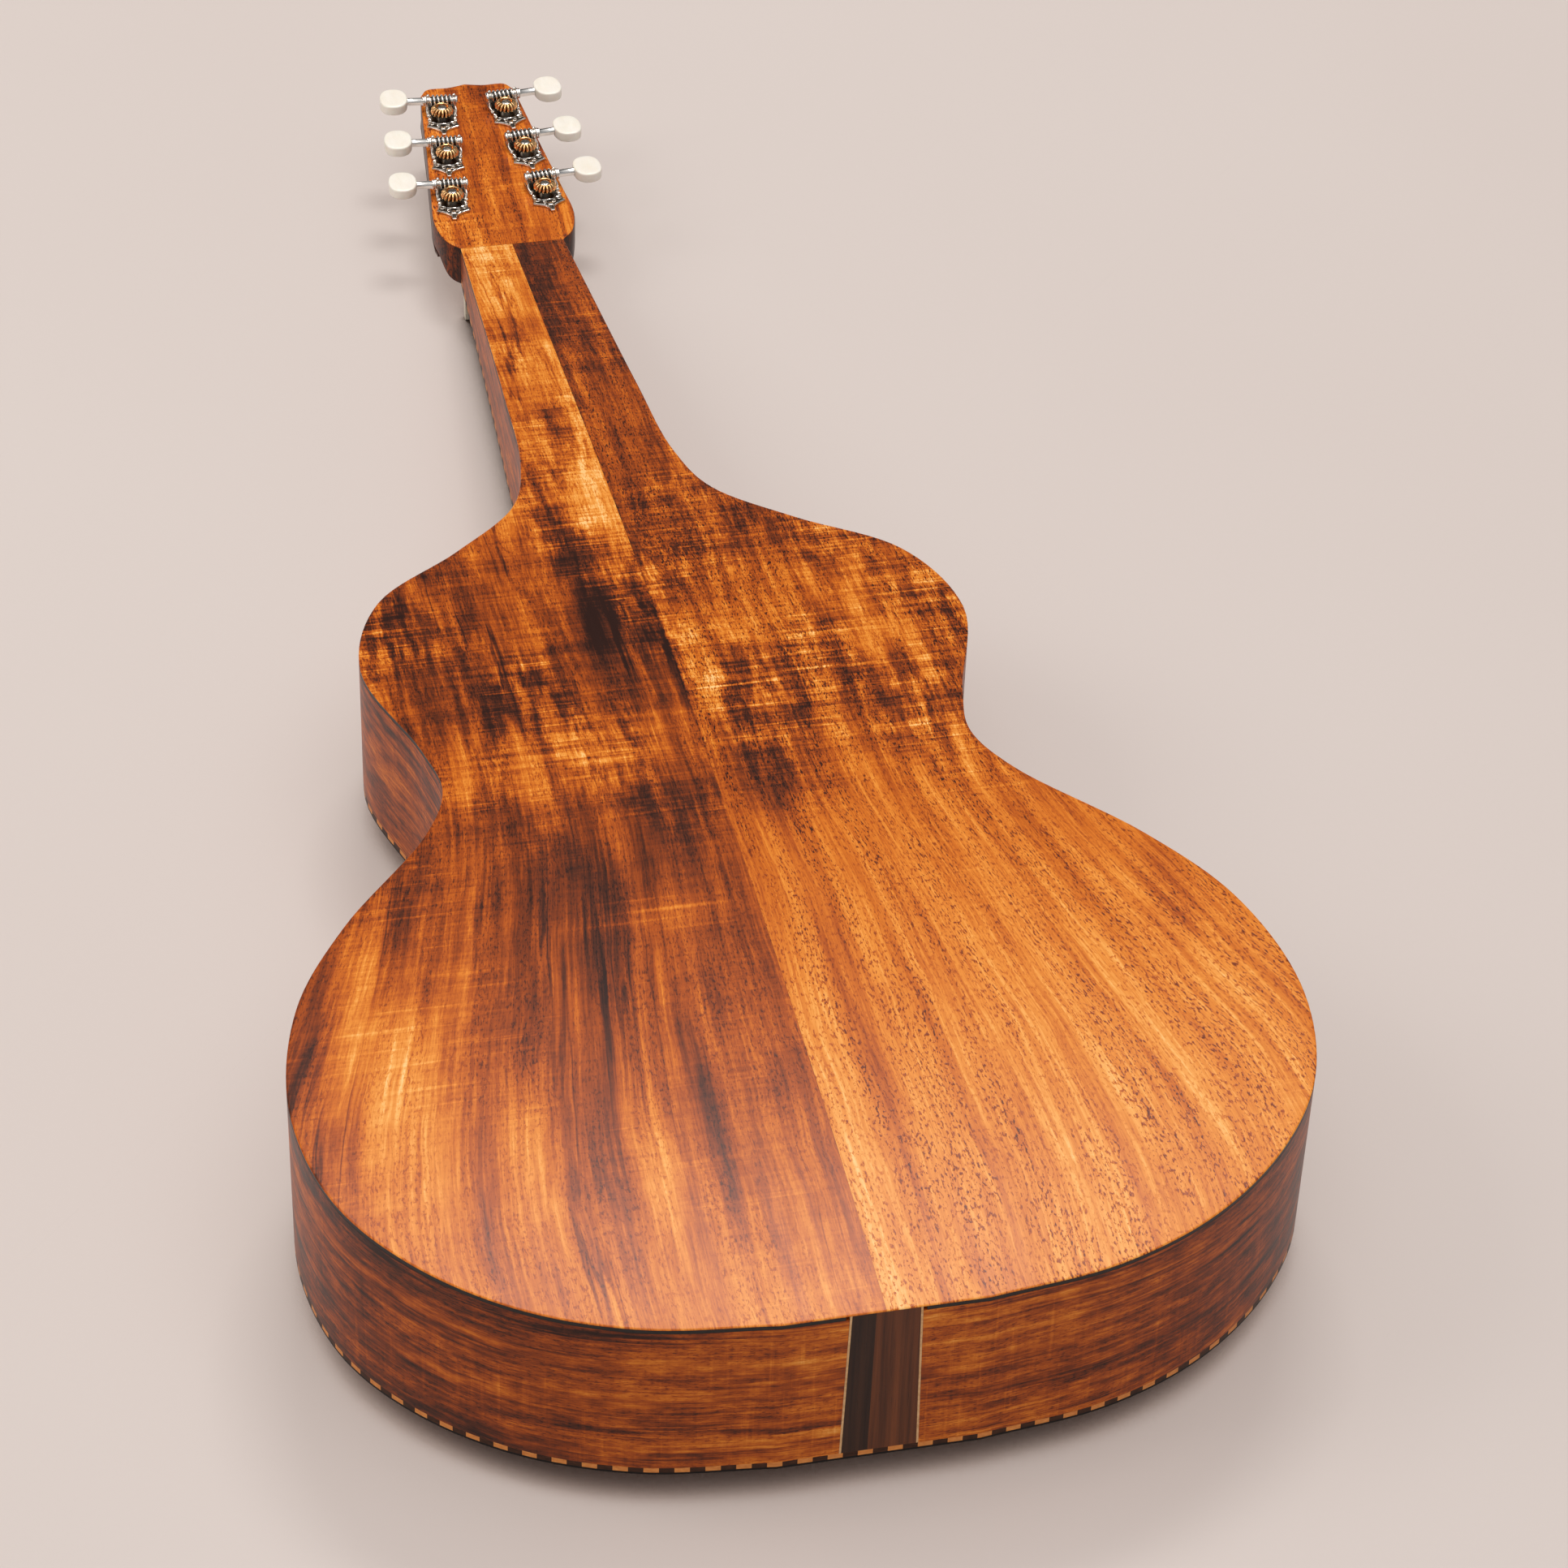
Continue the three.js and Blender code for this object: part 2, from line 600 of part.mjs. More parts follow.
// Teeth leaning with the worm's lead, a bore for the post and a recess for its screw.
function gear() {
  const middle = (GEAR.low + GEAR.high) / 2;
  const wormRadius = WORM.crest - WORM.engagement / 2;
  const lean = WORM_PITCH / (2 * Math.PI * wormRadius * GEAR_PITCH_RADIUS);
  const pitchAngle = 2 * Math.PI / GEAR.teeth;
  const corners = [[-0.3, GEAR.root], [-0.15, GEAR.outer], [0.15, GEAR.outer], [0.3, GEAR.root]];
  const ring = (z) => Array.from({ length: GEAR.teeth }, (_, tooth) => corners.map(([part, radius]) => {
    const angle = Math.PI / 2 + (tooth + part) * pitchAngle + lean * (z - middle);
    return point(radius * Math.cos(angle), radius * Math.sin(angle), z);
  })).flat();
  const wheel = starLoft([ring(GEAR.low), ring(GEAR.high)]);
  const bore = peg(GEAR.bore, GEAR.low - 1, GEAR.high + 1, 8);
  const floor = POST_SCREW.top - POST_SCREW.head - JOINT_GAP - JOINT_GAP;
  const recess = peg(GEAR.recess, floor, GEAR.high + 1, 12);
  return toGeometry(cut(toSolid(wheel), [bore, recess]));
}

// A loft whose ends are fans about the axis, for toothed sections.
function starLoft([low, high]) {
  const corners = [];
  const foot = point(0, 0, low[0].z);
  const head = point(0, 0, high[0].z);
  low.forEach((a, k) => {
    const next = (k + 1) % low.length;
    corners.push(a, low[next], high[next], a, high[next], high[k]);
    corners.push(foot, low[next], a, head, high[k], high[next]);
  });
  return outward(corners);
}

// A single right-hand thread on a shaft, with journals in the lugs and a stem to the button.
function wormShaft(side) {
  const perTurn = 8;
  const steps = WORM.turns * perTurn;
  const start = -WORM.turns * WORM_PITCH / 2;
  const { threadHalf, threadRoot, crest } = WORM;
  const flanks = [[-threadHalf, threadRoot], [0, crest], [threadHalf, threadRoot]];
  const ring = (step) => {
    const x = start + step * WORM_PITCH / perTurn;
    const angle = 2 * Math.PI * (x + WORM_PITCH / 2) / WORM_PITCH + Math.PI;
    return flanks.map(([offset, radius]) =>
      point(x + offset, radius * Math.cos(angle), radius * Math.sin(angle)));
  };
  const thread = loft(Array.from({ length: steps + 1 }, (_, step) => ring(step)));
  const coreEnd = LUG.inner - FIT_GAP;
  const room = LUG.outer + FIT_GAP;
  const { innerRadius, innerWidth, outerRadius, outerWidth } = COLLAR;
  const core = [
    [0, -room - innerWidth], [innerRadius, -room - innerWidth], [innerRadius, -room],
    [WORM.journal, -room], [WORM.journal, -coreEnd], [WORM.core, -coreEnd],
    [WORM.core, coreEnd], [WORM.journal, coreEnd], [WORM.journal, room],
    [outerRadius, room], [outerRadius, room + outerWidth], [SHAFT.radius, room + outerWidth],
    [SHAFT.radius, SHAFT.end], [0, SHAFT.end],
  ];
  const shaft = turned(core, 8).rotateY(side * Math.PI / 2);
  return toGeometry(joined([shaft, thread])).translate(0, WORM_Y, WORM.axisZ);
}

function button(side) {
  const { along, across, thickness, bevel } = BUTTON;
  const shape = new THREE.Shape();
  shape.absellipse(0, 0, along / 2 - bevel, across / 2 - bevel, 0, 2 * Math.PI);
  const geometry = new THREE.ExtrudeGeometry(shape, {
    depth: thickness - 2 * bevel, bevelEnabled: true, bevelThickness: bevel, bevelSize: bevel,
    bevelSegments: 1, curveSegments: 9,
  });
  const x = side * (SHAFT.end + JOINT_GAP + along / 2);
  return geometry.translate(x, WORM_Y, WORM.axisZ - thickness / 2 + bevel);
}

// The screw's head, the stub in the gear, and the post with its waist for the string.
function stringPost() {
  const seat = GEAR.low - JOINT_GAP;
  const headLow = POST_SCREW.top - POST_SCREW.head;
  const profile = [
    [0, POST.end], [POST.radius, POST.end], [POST.radius, POST.waistLow - 1],
    [POST.waist, POST.waistLow], [POST.waist, POST.waistTop], [POST.radius, POST.waistTop + 1],
    [POST.radius, seat], [POST_SCREW.stub, seat], [POST_SCREW.stub, headLow],
    [POST_SCREW.radius, headLow], [POST_SCREW.radius, POST_SCREW.top], [0, POST_SCREW.top],
  ];
  return turned(profile, 10);
}

// ---------------------------------------------------------------- the instrument

const instrument = new THREE.Group();
instrument.position.set(0, -HEAD_LENGTH_END / 2, RIDE_HEIGHT);

function add(name, geometry, material, parent = instrument) {
  const mesh = new THREE.Mesh(geometry, material);
  mesh.name = name;
  parent.add(mesh);
  return mesh;
}

add('soundboard', soundboard(), MATERIALS.koaGold);
add('back_treble_half', backHalf(-1), MATERIALS.koaRed);
add('back_bass_half', backHalf(1), MATERIALS.koaGold);
add('side_treble', sideRib(-1), MATERIALS.koaSide);
add('side_bass', sideRib(1), MATERIALS.koaSide);
add('tail_wedge', tailWedge(), MATERIALS.rosewood);
add('binding', binding(), MATERIALS.checker);
add('top_lining', topLining(), MATERIALS.spruce);
add('back_lining', backLining(), MATERIALS.spruce);
add('tail_block', tailBlock(), MATERIALS.spruce);
add('top_bracing', topBracing(), MATERIALS.spruce);
add('back_bracing', backBracing(), MATERIALS.spruce);
add('headstock', headstock(), MATERIALS.koaHead);
add('head_veneer', headVeneer(), MATERIALS.rosewood);
add('fingerboard', fingerboard(), MATERIALS.rosewood);
add('nut', nut(), MATERIALS.bone);
add('bridge', bridge(), MATERIALS.rosewood);
add('saddle', saddle(), MATERIALS.bone);

pinPlaces().forEach((x, index) => {
  add(`bridge_pin_${index + 1}`, bridgePin(), MATERIALS.rosewood).position.set(x, PIN.y, 0);
});

STRING_DIAMETERS.forEach((diameter, index) => {
  add(`string_${index + 1}`, string(index), index < 2 ? MATERIALS.steel : MATERIALS.wound);
});

for (const place of tunerPlaces()) {
  const tuner = new THREE.Group();
  tunerMatrix(place).decompose(tuner.position, tuner.quaternion, tuner.scale);
  instrument.add(tuner);
  const name = `${place.side > 0 ? 'bass' : 'treble'}_tuner_${place.number}`;
  add(`${name}_plate`, tunerPlate(), MATERIALS.nickel, tuner);
  add(`${name}_gear`, gear(), MATERIALS.bronze, tuner);
  add(`${name}_post`, stringPost(), MATERIALS.nickel, tuner);
  add(`${name}_worm`, wormShaft(place.side), MATERIALS.nickel, tuner);
  add(`${name}_button`, button(place.side), MATERIALS.cream, tuner);
}

export default instrument;
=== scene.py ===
"""Looks of a hollow-neck lap steel guitar that lies face down on a pale floor.

Shapes are in millimetres and turned into metres when a mesh is made. Their heights are measured
from the outer face of the soundboard, and y from the tail, as in the part's own design. Materials,
the floor, the lights and the camera are in metres, in the frame.
"""

import math

import bmesh
import bpy
from mathutils import Matrix, Vector


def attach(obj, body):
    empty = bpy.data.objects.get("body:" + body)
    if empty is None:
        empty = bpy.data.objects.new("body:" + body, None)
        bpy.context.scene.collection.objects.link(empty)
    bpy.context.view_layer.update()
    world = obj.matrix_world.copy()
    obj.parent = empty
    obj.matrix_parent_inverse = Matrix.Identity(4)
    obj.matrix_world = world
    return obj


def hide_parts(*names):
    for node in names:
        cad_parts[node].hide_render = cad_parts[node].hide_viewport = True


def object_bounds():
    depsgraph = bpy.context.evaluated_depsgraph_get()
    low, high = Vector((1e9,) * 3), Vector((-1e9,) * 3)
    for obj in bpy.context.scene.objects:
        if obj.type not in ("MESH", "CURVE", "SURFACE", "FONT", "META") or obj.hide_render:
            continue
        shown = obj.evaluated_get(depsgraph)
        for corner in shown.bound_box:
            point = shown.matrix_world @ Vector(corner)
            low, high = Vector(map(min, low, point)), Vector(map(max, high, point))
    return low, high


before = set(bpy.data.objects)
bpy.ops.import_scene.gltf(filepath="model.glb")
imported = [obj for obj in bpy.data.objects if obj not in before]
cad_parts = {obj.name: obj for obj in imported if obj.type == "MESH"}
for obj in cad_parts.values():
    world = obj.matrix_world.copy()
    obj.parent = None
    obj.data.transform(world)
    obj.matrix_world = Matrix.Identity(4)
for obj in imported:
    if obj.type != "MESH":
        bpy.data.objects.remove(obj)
CAD_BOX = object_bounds()

MM = 0.001
RIDE_HEIGHT = 16.0  # of the soundboard over the floor, on the nut and the saddle
TAIL_Y = CAD_BOX[0].y / MM
TO_ROW = Matrix.Scale(MM, 4) @ Matrix.Translation((0, TAIL_Y, RIDE_HEIGHT))

# ---------------- design sizes

OUTLINE = [
    (38, 0), (88, 7), (129, 24), (163, 52), (185, 86), (194, 134), (184, 189), (160, 233),
    (120, 285), (109, 313), (113, 342), (129, 404), (114, 456), (75, 491), (45, 524),
    (35, 560), (31, 630), (25.5, 789),
]
OUTLINE_STEPS = 9
NECK_END = 789.0
ARCH_SPAN = 800.0
ARCH = (74.7, 62.1, -173.7, 57.2)

BACK_SKIN = 0.45
BACK_LINE = 1.85
BACK_THICKNESS = 2.8
SIDE_SKIN = 2.2
BINDING_WIDTH = 2.1
BINDING_HEIGHT = 3.8
BLACK_LINE = 1.5
WEDGE_BACK = 12.5
WEDGE_FRONT = 14.0
MAPLE_LINE = 0.8

SOUNDHOLE_Y = 318.0
SOUNDHOLE_RADIUS = 46.0
SADDLE_Y = 147.0
SCALE_LENGTH = 635.0
NUT_Y = SADDLE_Y + SCALE_LENGTH
FINGERBOARD_START = 367.0
FINGERBOARD_THICKNESS = 3.0
FINGERBOARD_END_HALF = 31.0
FINGERBOARD_NUT_HALF = 24.9
FRETS = 18
PIN_Y = 134.0
BRIDGE_THICKNESS = 8.0

HEAD_OUTLINE = [
    (25.5, 789.1), (31.5, 796.5), (35, 812), (33.2, 835), (29.3, 873), (25.6, 914),
    (24, 927), (20, 932.6), (9, 933), (0, 935),
]
HEAD_TILT = math.radians(2)
HEAD_THICKNESS = 14.0
HEAD_RAMP = (791.0, 806.0)
VENEER = 1.5

STRING_DIAMETERS = (0.6, 0.6, 0.66, 0.9, 1.14, 1.42)
WOUND_FROM = 0.65  # thinner strings are plain steel
SADDLE_SPACING = 10.8

GEAR_TEETH = 16
GEAR_OUTER = 5.75
GEAR_LOW = 3.45
GEAR_HIGH = 7.6
WORM_CREST = 3.3
WORM_ENGAGEMENT = 0.65
WORM_Z = 5.5
WORM_Y = GEAR_OUTER + WORM_CREST - WORM_ENGAGEMENT
GEAR_PITCH_RADIUS = GEAR_OUTER - WORM_ENGAGEMENT / 2
WORM_PITCH = 2 * math.pi * GEAR_PITCH_RADIUS / GEAR_TEETH
SHAFT_END = 17.0

SIDES = (("treble", -1), ("bass", 1))

# ---------------- shape helpers


def centripetal(points, steps):
    """Points of a centripetal Catmull-Rom curve through the given ones."""
    pts = [Vector(p) for p in points]
    pts = [pts[0] * 2 - pts[1]] + pts + [pts[-1] * 2 - pts[-2]]
    out = []
    for i in range(1, len(pts) - 2):
        p0, p1, p2, p3 = pts[i - 1 : i + 3]
        t0 = 0.0
        t1 = t0 + (p1 - p0).length ** 0.5
        t2 = t1 + (p2 - p1).length ** 0.5
        t3 = t2 + (p3 - p2).length ** 0.5
        for k in range(steps):
            t = t1 + (t2 - t1) * k / steps
            a1 = p0 * ((t1 - t) / (t1 - t0)) + p1 * ((t - t0) / (t1 - t0))
            a2 = p1 * ((t2 - t) / (t2 - t1)) + p2 * ((t - t1) / (t2 - t1))
            a3 = p2 * ((t3 - t) / (t3 - t2)) + p3 * ((t - t2) / (t3 - t2))
            b1 = a1 * ((t2 - t) / (t2 - t0)) + a2 * ((t - t0) / (t2 - t0))
            b2 = a2 * ((t3 - t) / (t3 - t1)) + a3 * ((t - t1) / (t3 - t1))
            out.append(b1 * ((t2 - t) / (t2 - t1)) + b2 * ((t - t1) / (t2 - t1)))
    out.append(pts[-2].copy())
    return out


def back_height(y):
    t = y / ARCH_SPAN
    return ARCH[0] + t * (ARCH[1] + t * (ARCH[2] + t * ARCH[3]))


def head_back(y):
    return back_height(NECK_END) + math.tan(HEAD_TILT) * (y - NECK_END)


def head_front(y):
    """Front face of the headstock, with the ramp down to the nut."""
    start, end = HEAD_RAMP
    full = head_back(max(y, end)) - HEAD_THICKNESS
    share = min(max((y - start) / (end - start), 0), 1)
    return full * share * share * (3 - 2 * share)


STRAIGHT_TAIL = [Vector((x, 0)) for x in range(0, 36, 4)]
HALF = STRAIGHT_TAIL + centripetal(OUTLINE, OUTLINE_STEPS)


def inset(points, distance, flat=len(STRAIGHT_TAIL), first=Vector((1, 0)), last=Vector((0, 1))):
    """The outline moved inwards, square to itself. The first flat points and the last one take
    the directions given."""
    out = []
    for i, here in enumerate(points):
        along = points[min(i + 1, len(points) - 1)] - points[max(i - 1, 0)]
        along.normalize()
        if i < flat:
            along = first
        if i == len(points) - 1:
            along = last
        out.append(Vector((here.x - distance * along.y, here.y + distance * along.x)))
    return out


def layered(half, layers, side=0, seam=0.0, **ends):
    """A plate whose edge follows a half outline. Each layer is [inset, height over y], from the
    top round the edge to the bottom. side 0 makes both halves in one, 1 or -1 only that one."""
    curves = [inset(half, distance, **ends) for distance, _ in layers]
    verts = []
    for i in range(len(half)):
        ring = [Vector((c[i].x, c[i].y, z(c[i].y))) for c, (_, z) in zip(curves, layers)]
        if side:
            ring = [Vector((seam, ring[0].y, ring[0].z))] + ring
            ring += [Vector((seam, ring[-1].y, ring[-1].z))]
            ring = [Vector((side * max(p.x, seam), p.y, p.z)) for p in ring]
        else:
            ring += [Vector((-p.x, p.y, p.z)) for p in reversed(ring)]
        verts += ring
    return verts, tube_faces(len(half), len(ring))


def below(drop):
    """A height that stays a set distance under the back's surface."""
    return lambda y: back_height(y) - drop


def level(height):
    return lambda y: height


def ring_outline(distance):
    half = inset(HALF, distance)
    return [Vector((-p.x, p.y)) for p in reversed(half[1:])] + half


def arc_lengths(points):
    lengths = [0.0]
    for a, b in zip(points, points[1:]):
        lengths.append(lengths[-1] + (b - a).length)
    return lengths


def make(name, verts, faces, material, body="body", matrix=TO_ROW, stands_for=(), slot=None,
         sharp=40, grain=None):
    """A closed mesh piece that rides on a CAD body, with clean outward faces."""
    mesh = bpy.data.meshes.new(name)
    work = bmesh.new()
    placed = [work.verts.new(matrix @ Vector(v)) for v in verts]
    for face in faces:
        ids = list(dict.fromkeys(face))
        if len(ids) > 2:
            work.faces.new([placed[i] for i in ids])
    work.to_mesh(mesh)
    work.free()
    if grain:
        layer = mesh.attributes.new("grain", "FLOAT_VECTOR", "POINT")
        layer.data.foreach_set("vector", [c * MM for g in grain for c in g])
    work = bmesh.new()
    work.from_mesh(mesh)
    bmesh.ops.remove_doubles(work, verts=work.verts, dist=1e-6)
    bmesh.ops.dissolve_degenerate(work, edges=work.edges, dist=1e-7)
    bmesh.ops.recalc_face_normals(work, faces=work.faces)
    work.to_mesh(mesh)
    work.free()
    mesh.polygons.foreach_set("use_smooth", [True] * len(mesh.polygons))
    mesh.set_sharp_from_angle(angle=math.radians(sharp))
    mesh.materials.append(material)
    piece = bpy.data.objects.new(name, mesh)
    bpy.context.scene.collection.objects.link(piece)
    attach(piece, body)
    if stands_for:
        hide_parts(*stands_for)
    return piece


def round_point(radius, angle):
    return radius * math.cos(angle), radius * math.sin(angle)


def tube_faces(count, size, closed=False):
    """Faces of count rings of size points each, numbered ring after ring."""
    faces = []
    for s in range(count if closed else count - 1):
        a, b = s * size, (s + 1) % count * size
        for k in range(size):
            n = (k + 1) % size
            faces.append((a + k, a + n, b + n, b + k))
    if not closed:
        faces.append(tuple(range(size)))
        faces.append(tuple(range((count - 1) * size, count * size)))
    return faces


def joined(parts):
    """Several (verts, faces) as one."""
    verts, faces = [], []
    for part_verts, part_faces in parts:
        base = len(verts)
        verts += [Vector(v) for v in part_verts]
        faces += [tuple(i + base for i in face) for face in part_faces]
    return verts, faces


def turned(profile, sides):
    """A solid of revolution about Z from [radius, z], whose ends lie on the axis."""
    verts = []
    for radius, z in profile:
        for k in range(sides):
            angle = 2 * math.pi * k / sides
            verts.append((*round_point(radius, angle), z))
    return verts, tube_faces(len(profile), sides)


def moved(shape, matrix):
    verts, faces = shape
    return [matrix @ Vector(v) for v in verts], faces


def tube(route, radius, sides):
    """A round rod along a route, closed at both ends."""
    verts = []
    side = None
    for i, here in enumerate(route):
        along = (route[min(i + 1, len(route) - 1)] - route[max(i - 1, 0)]).normalized()
        if side is None:
            side = along.orthogonal().normalized()
        side = (side - along * side.dot(along)).normalized()
        other = along.cross(side)
        for k in range(sides):
            angle = 2 * math.pi * k / sides
            spoke = side * math.cos(angle) + other * math.sin(angle)
            verts.append(here + spoke * radius)
    return verts, tube_faces(len(route), sides)


def slab(outline, z0, z1, bevel):
    """A plate of a plane outline (counterclockwise), with softened edges."""
    size = len(outline)
    inner = []
    for i, here in enumerate(outline):
        along = (outline[(i + 1) % size] - outline[i - 1]).normalized()
        inner.append(Vector((here.x - bevel * along.y, here.y + bevel * along.x)))
    levels = [(inner, z0), (outline, z0 + bevel), (outline, z1 - bevel), (inner, z1)]
    verts = [(p.x, p.y, z) for points, z in levels for p in points]
    return verts, tube_faces(len(levels), size)


def disc(x, y, radius, z0, z1):
    return moved(turned([(0, z0), (radius, z0), (radius, z1), (0, z1)], 24),
                 Matrix.Translation((x, y, 0)))


def hoop(profile, sides=32):
    """A ring about Z from the closed [radius, z] loop of its section."""
    verts, _ = turned(profile, sides)
    return verts, tube_faces(len(profile), sides, closed=True)


# ---------------- materials


class Nodes:
    """A node tree, with short ways to add to it."""

    def __init__(self, tree):
        self.tree = tree

    def node(self, kind, settings=None, **inputs):
        made = self.tree.nodes.new("ShaderNode" + kind)
        for key, value in (settings or {}).items():
            setattr(made, key, value)
        for key, value in inputs.items():
            self.put(made.inputs[key.replace("_", " ")], value)
        return made

    def put(self, socket, value):
        if isinstance(value, bpy.types.NodeSocket):
            self.tree.links.new(value, socket)
        else:
            socket.default_value = value

    def math(self, operation, a, b=0.0, c=0.0, clamp=False):
        made = self.tree.nodes.new("ShaderNodeMath")
        made.operation = operation
        made.use_clamp = clamp
        for socket, value in zip(made.inputs, (a, b, c)):
            self.put(socket, value)
        return made.outputs[0]

    def times(self, a, b):
        return self.math("MULTIPLY", a, b)

    def minus(self, a, b, clamp=False):
        return self.math("SUBTRACT", a, b, clamp=clamp)

    def split(self, vector):
        return self.node("SeparateXYZ", Vector=vector).outputs

    def swayed(self, base, noise, weight):
        """A value moved up and down by a noise, whose own middle is 0.5."""
        return self.math("MULTIPLY_ADD", self.minus(noise, 0.5), weight, base)

    def stretched(self, place, scale, shift):
        return self.node("Mapping", Vector=place, Scale=scale, Location=shift).outputs[0]

    def noise(self, place, scale, detail=3.0, rough=0.55, shift=(0, 0, 0), distort=0.0):
        made = self.node(
            "TexNoise", Vector=self.stretched(place, scale, shift), Scale=1.0, Detail=detail,
            Roughness=rough, Distortion=distort,
        )
        return made.outputs["Fac"]

    def spread(self, value, low, high, to_low=0.0, to_high=1.0):
        made = self.node("MapRange", {"interpolation_type": "SMOOTHSTEP"})
        for socket, number in zip(made.inputs, (value, low, high, to_low, to_high)):
            self.put(socket, number)
        return made.outputs[0]

    def ramp(self, value, stops):
        made = self.node("ValToRGB", Fac=value)
        elements = made.color_ramp.elements
        while len(elements) < len(stops):
            elements.new(0.5)
        for element, (position, colour) in zip(elements, stops):
            element.position = position
            element.color = (*colour, 1) if len(colour) == 3 else colour
        return made.outputs[0]

    def curve(self, value, stops):
        """A grey ramp, for a quantity that follows given stops."""
        return self.ramp(value, [(position, (grey,) * 3) for position, grey in stops])

    def blend(self, factor, a, b, mode="MIX"):
        made = self.node("Mix", {"data_type": "RGBA", "blend_type": mode})
        self.put(made.inputs["Factor"], factor)
        self.put(made.inputs[6], a)
        self.put(made.inputs[7], b)
        return made.outputs[2]


class Paint(Nodes):
    """A material's own nodes, round its shader."""

    def __init__(self, name):
        self.material = bpy.data.materials.new(name)
        self.material.use_nodes = True
        super().__init__(self.material.node_tree)
        self.shader = self.tree.nodes["Principled BSDF"]

    def place(self, source="object"):
        if source == "object":
            return self.node("TexCoord").outputs["Object"]
        return self.node("Attribute", {"attribute_name": source}).outputs["Vector"]

    def bump(self, height, distance, strength):
        made = self.node("Bump", Height=height, Distance=distance, Strength=strength)
        self.put(self.shader.inputs["Normal"], made.outputs[0])

    def finish(self, colour, roughness, metallic=0.0, coat=0.0, coat_roughness=0.1, specular=0.5):
        self.put(self.shader.inputs["Base Color"], colour)
        self.put(self.shader.inputs["Roughness"], roughness)
        for key, number in (("Metallic", metallic), ("Coat Weight", coat),
                            ("Coat Roughness", coat_roughness), ("Specular IOR Level", specular)):
            self.shader.inputs[key].default_value = number
        return self.material


KOA = [
    (0.00, (0.026, 0.009, 0.006)),
    (0.18, (0.085, 0.020, 0.008)),
    (0.34, (0.215, 0.038, 0.007)),
    (0.50, (0.420, 0.080, 0.008)),
    (0.64, (0.610, 0.150, 0.012)),
    (0.78, (0.770, 0.255, 0.030)),
    (0.90, (0.870, 0.380, 0.080)),
    (1.00, (0.950, 0.560, 0.220)),
]


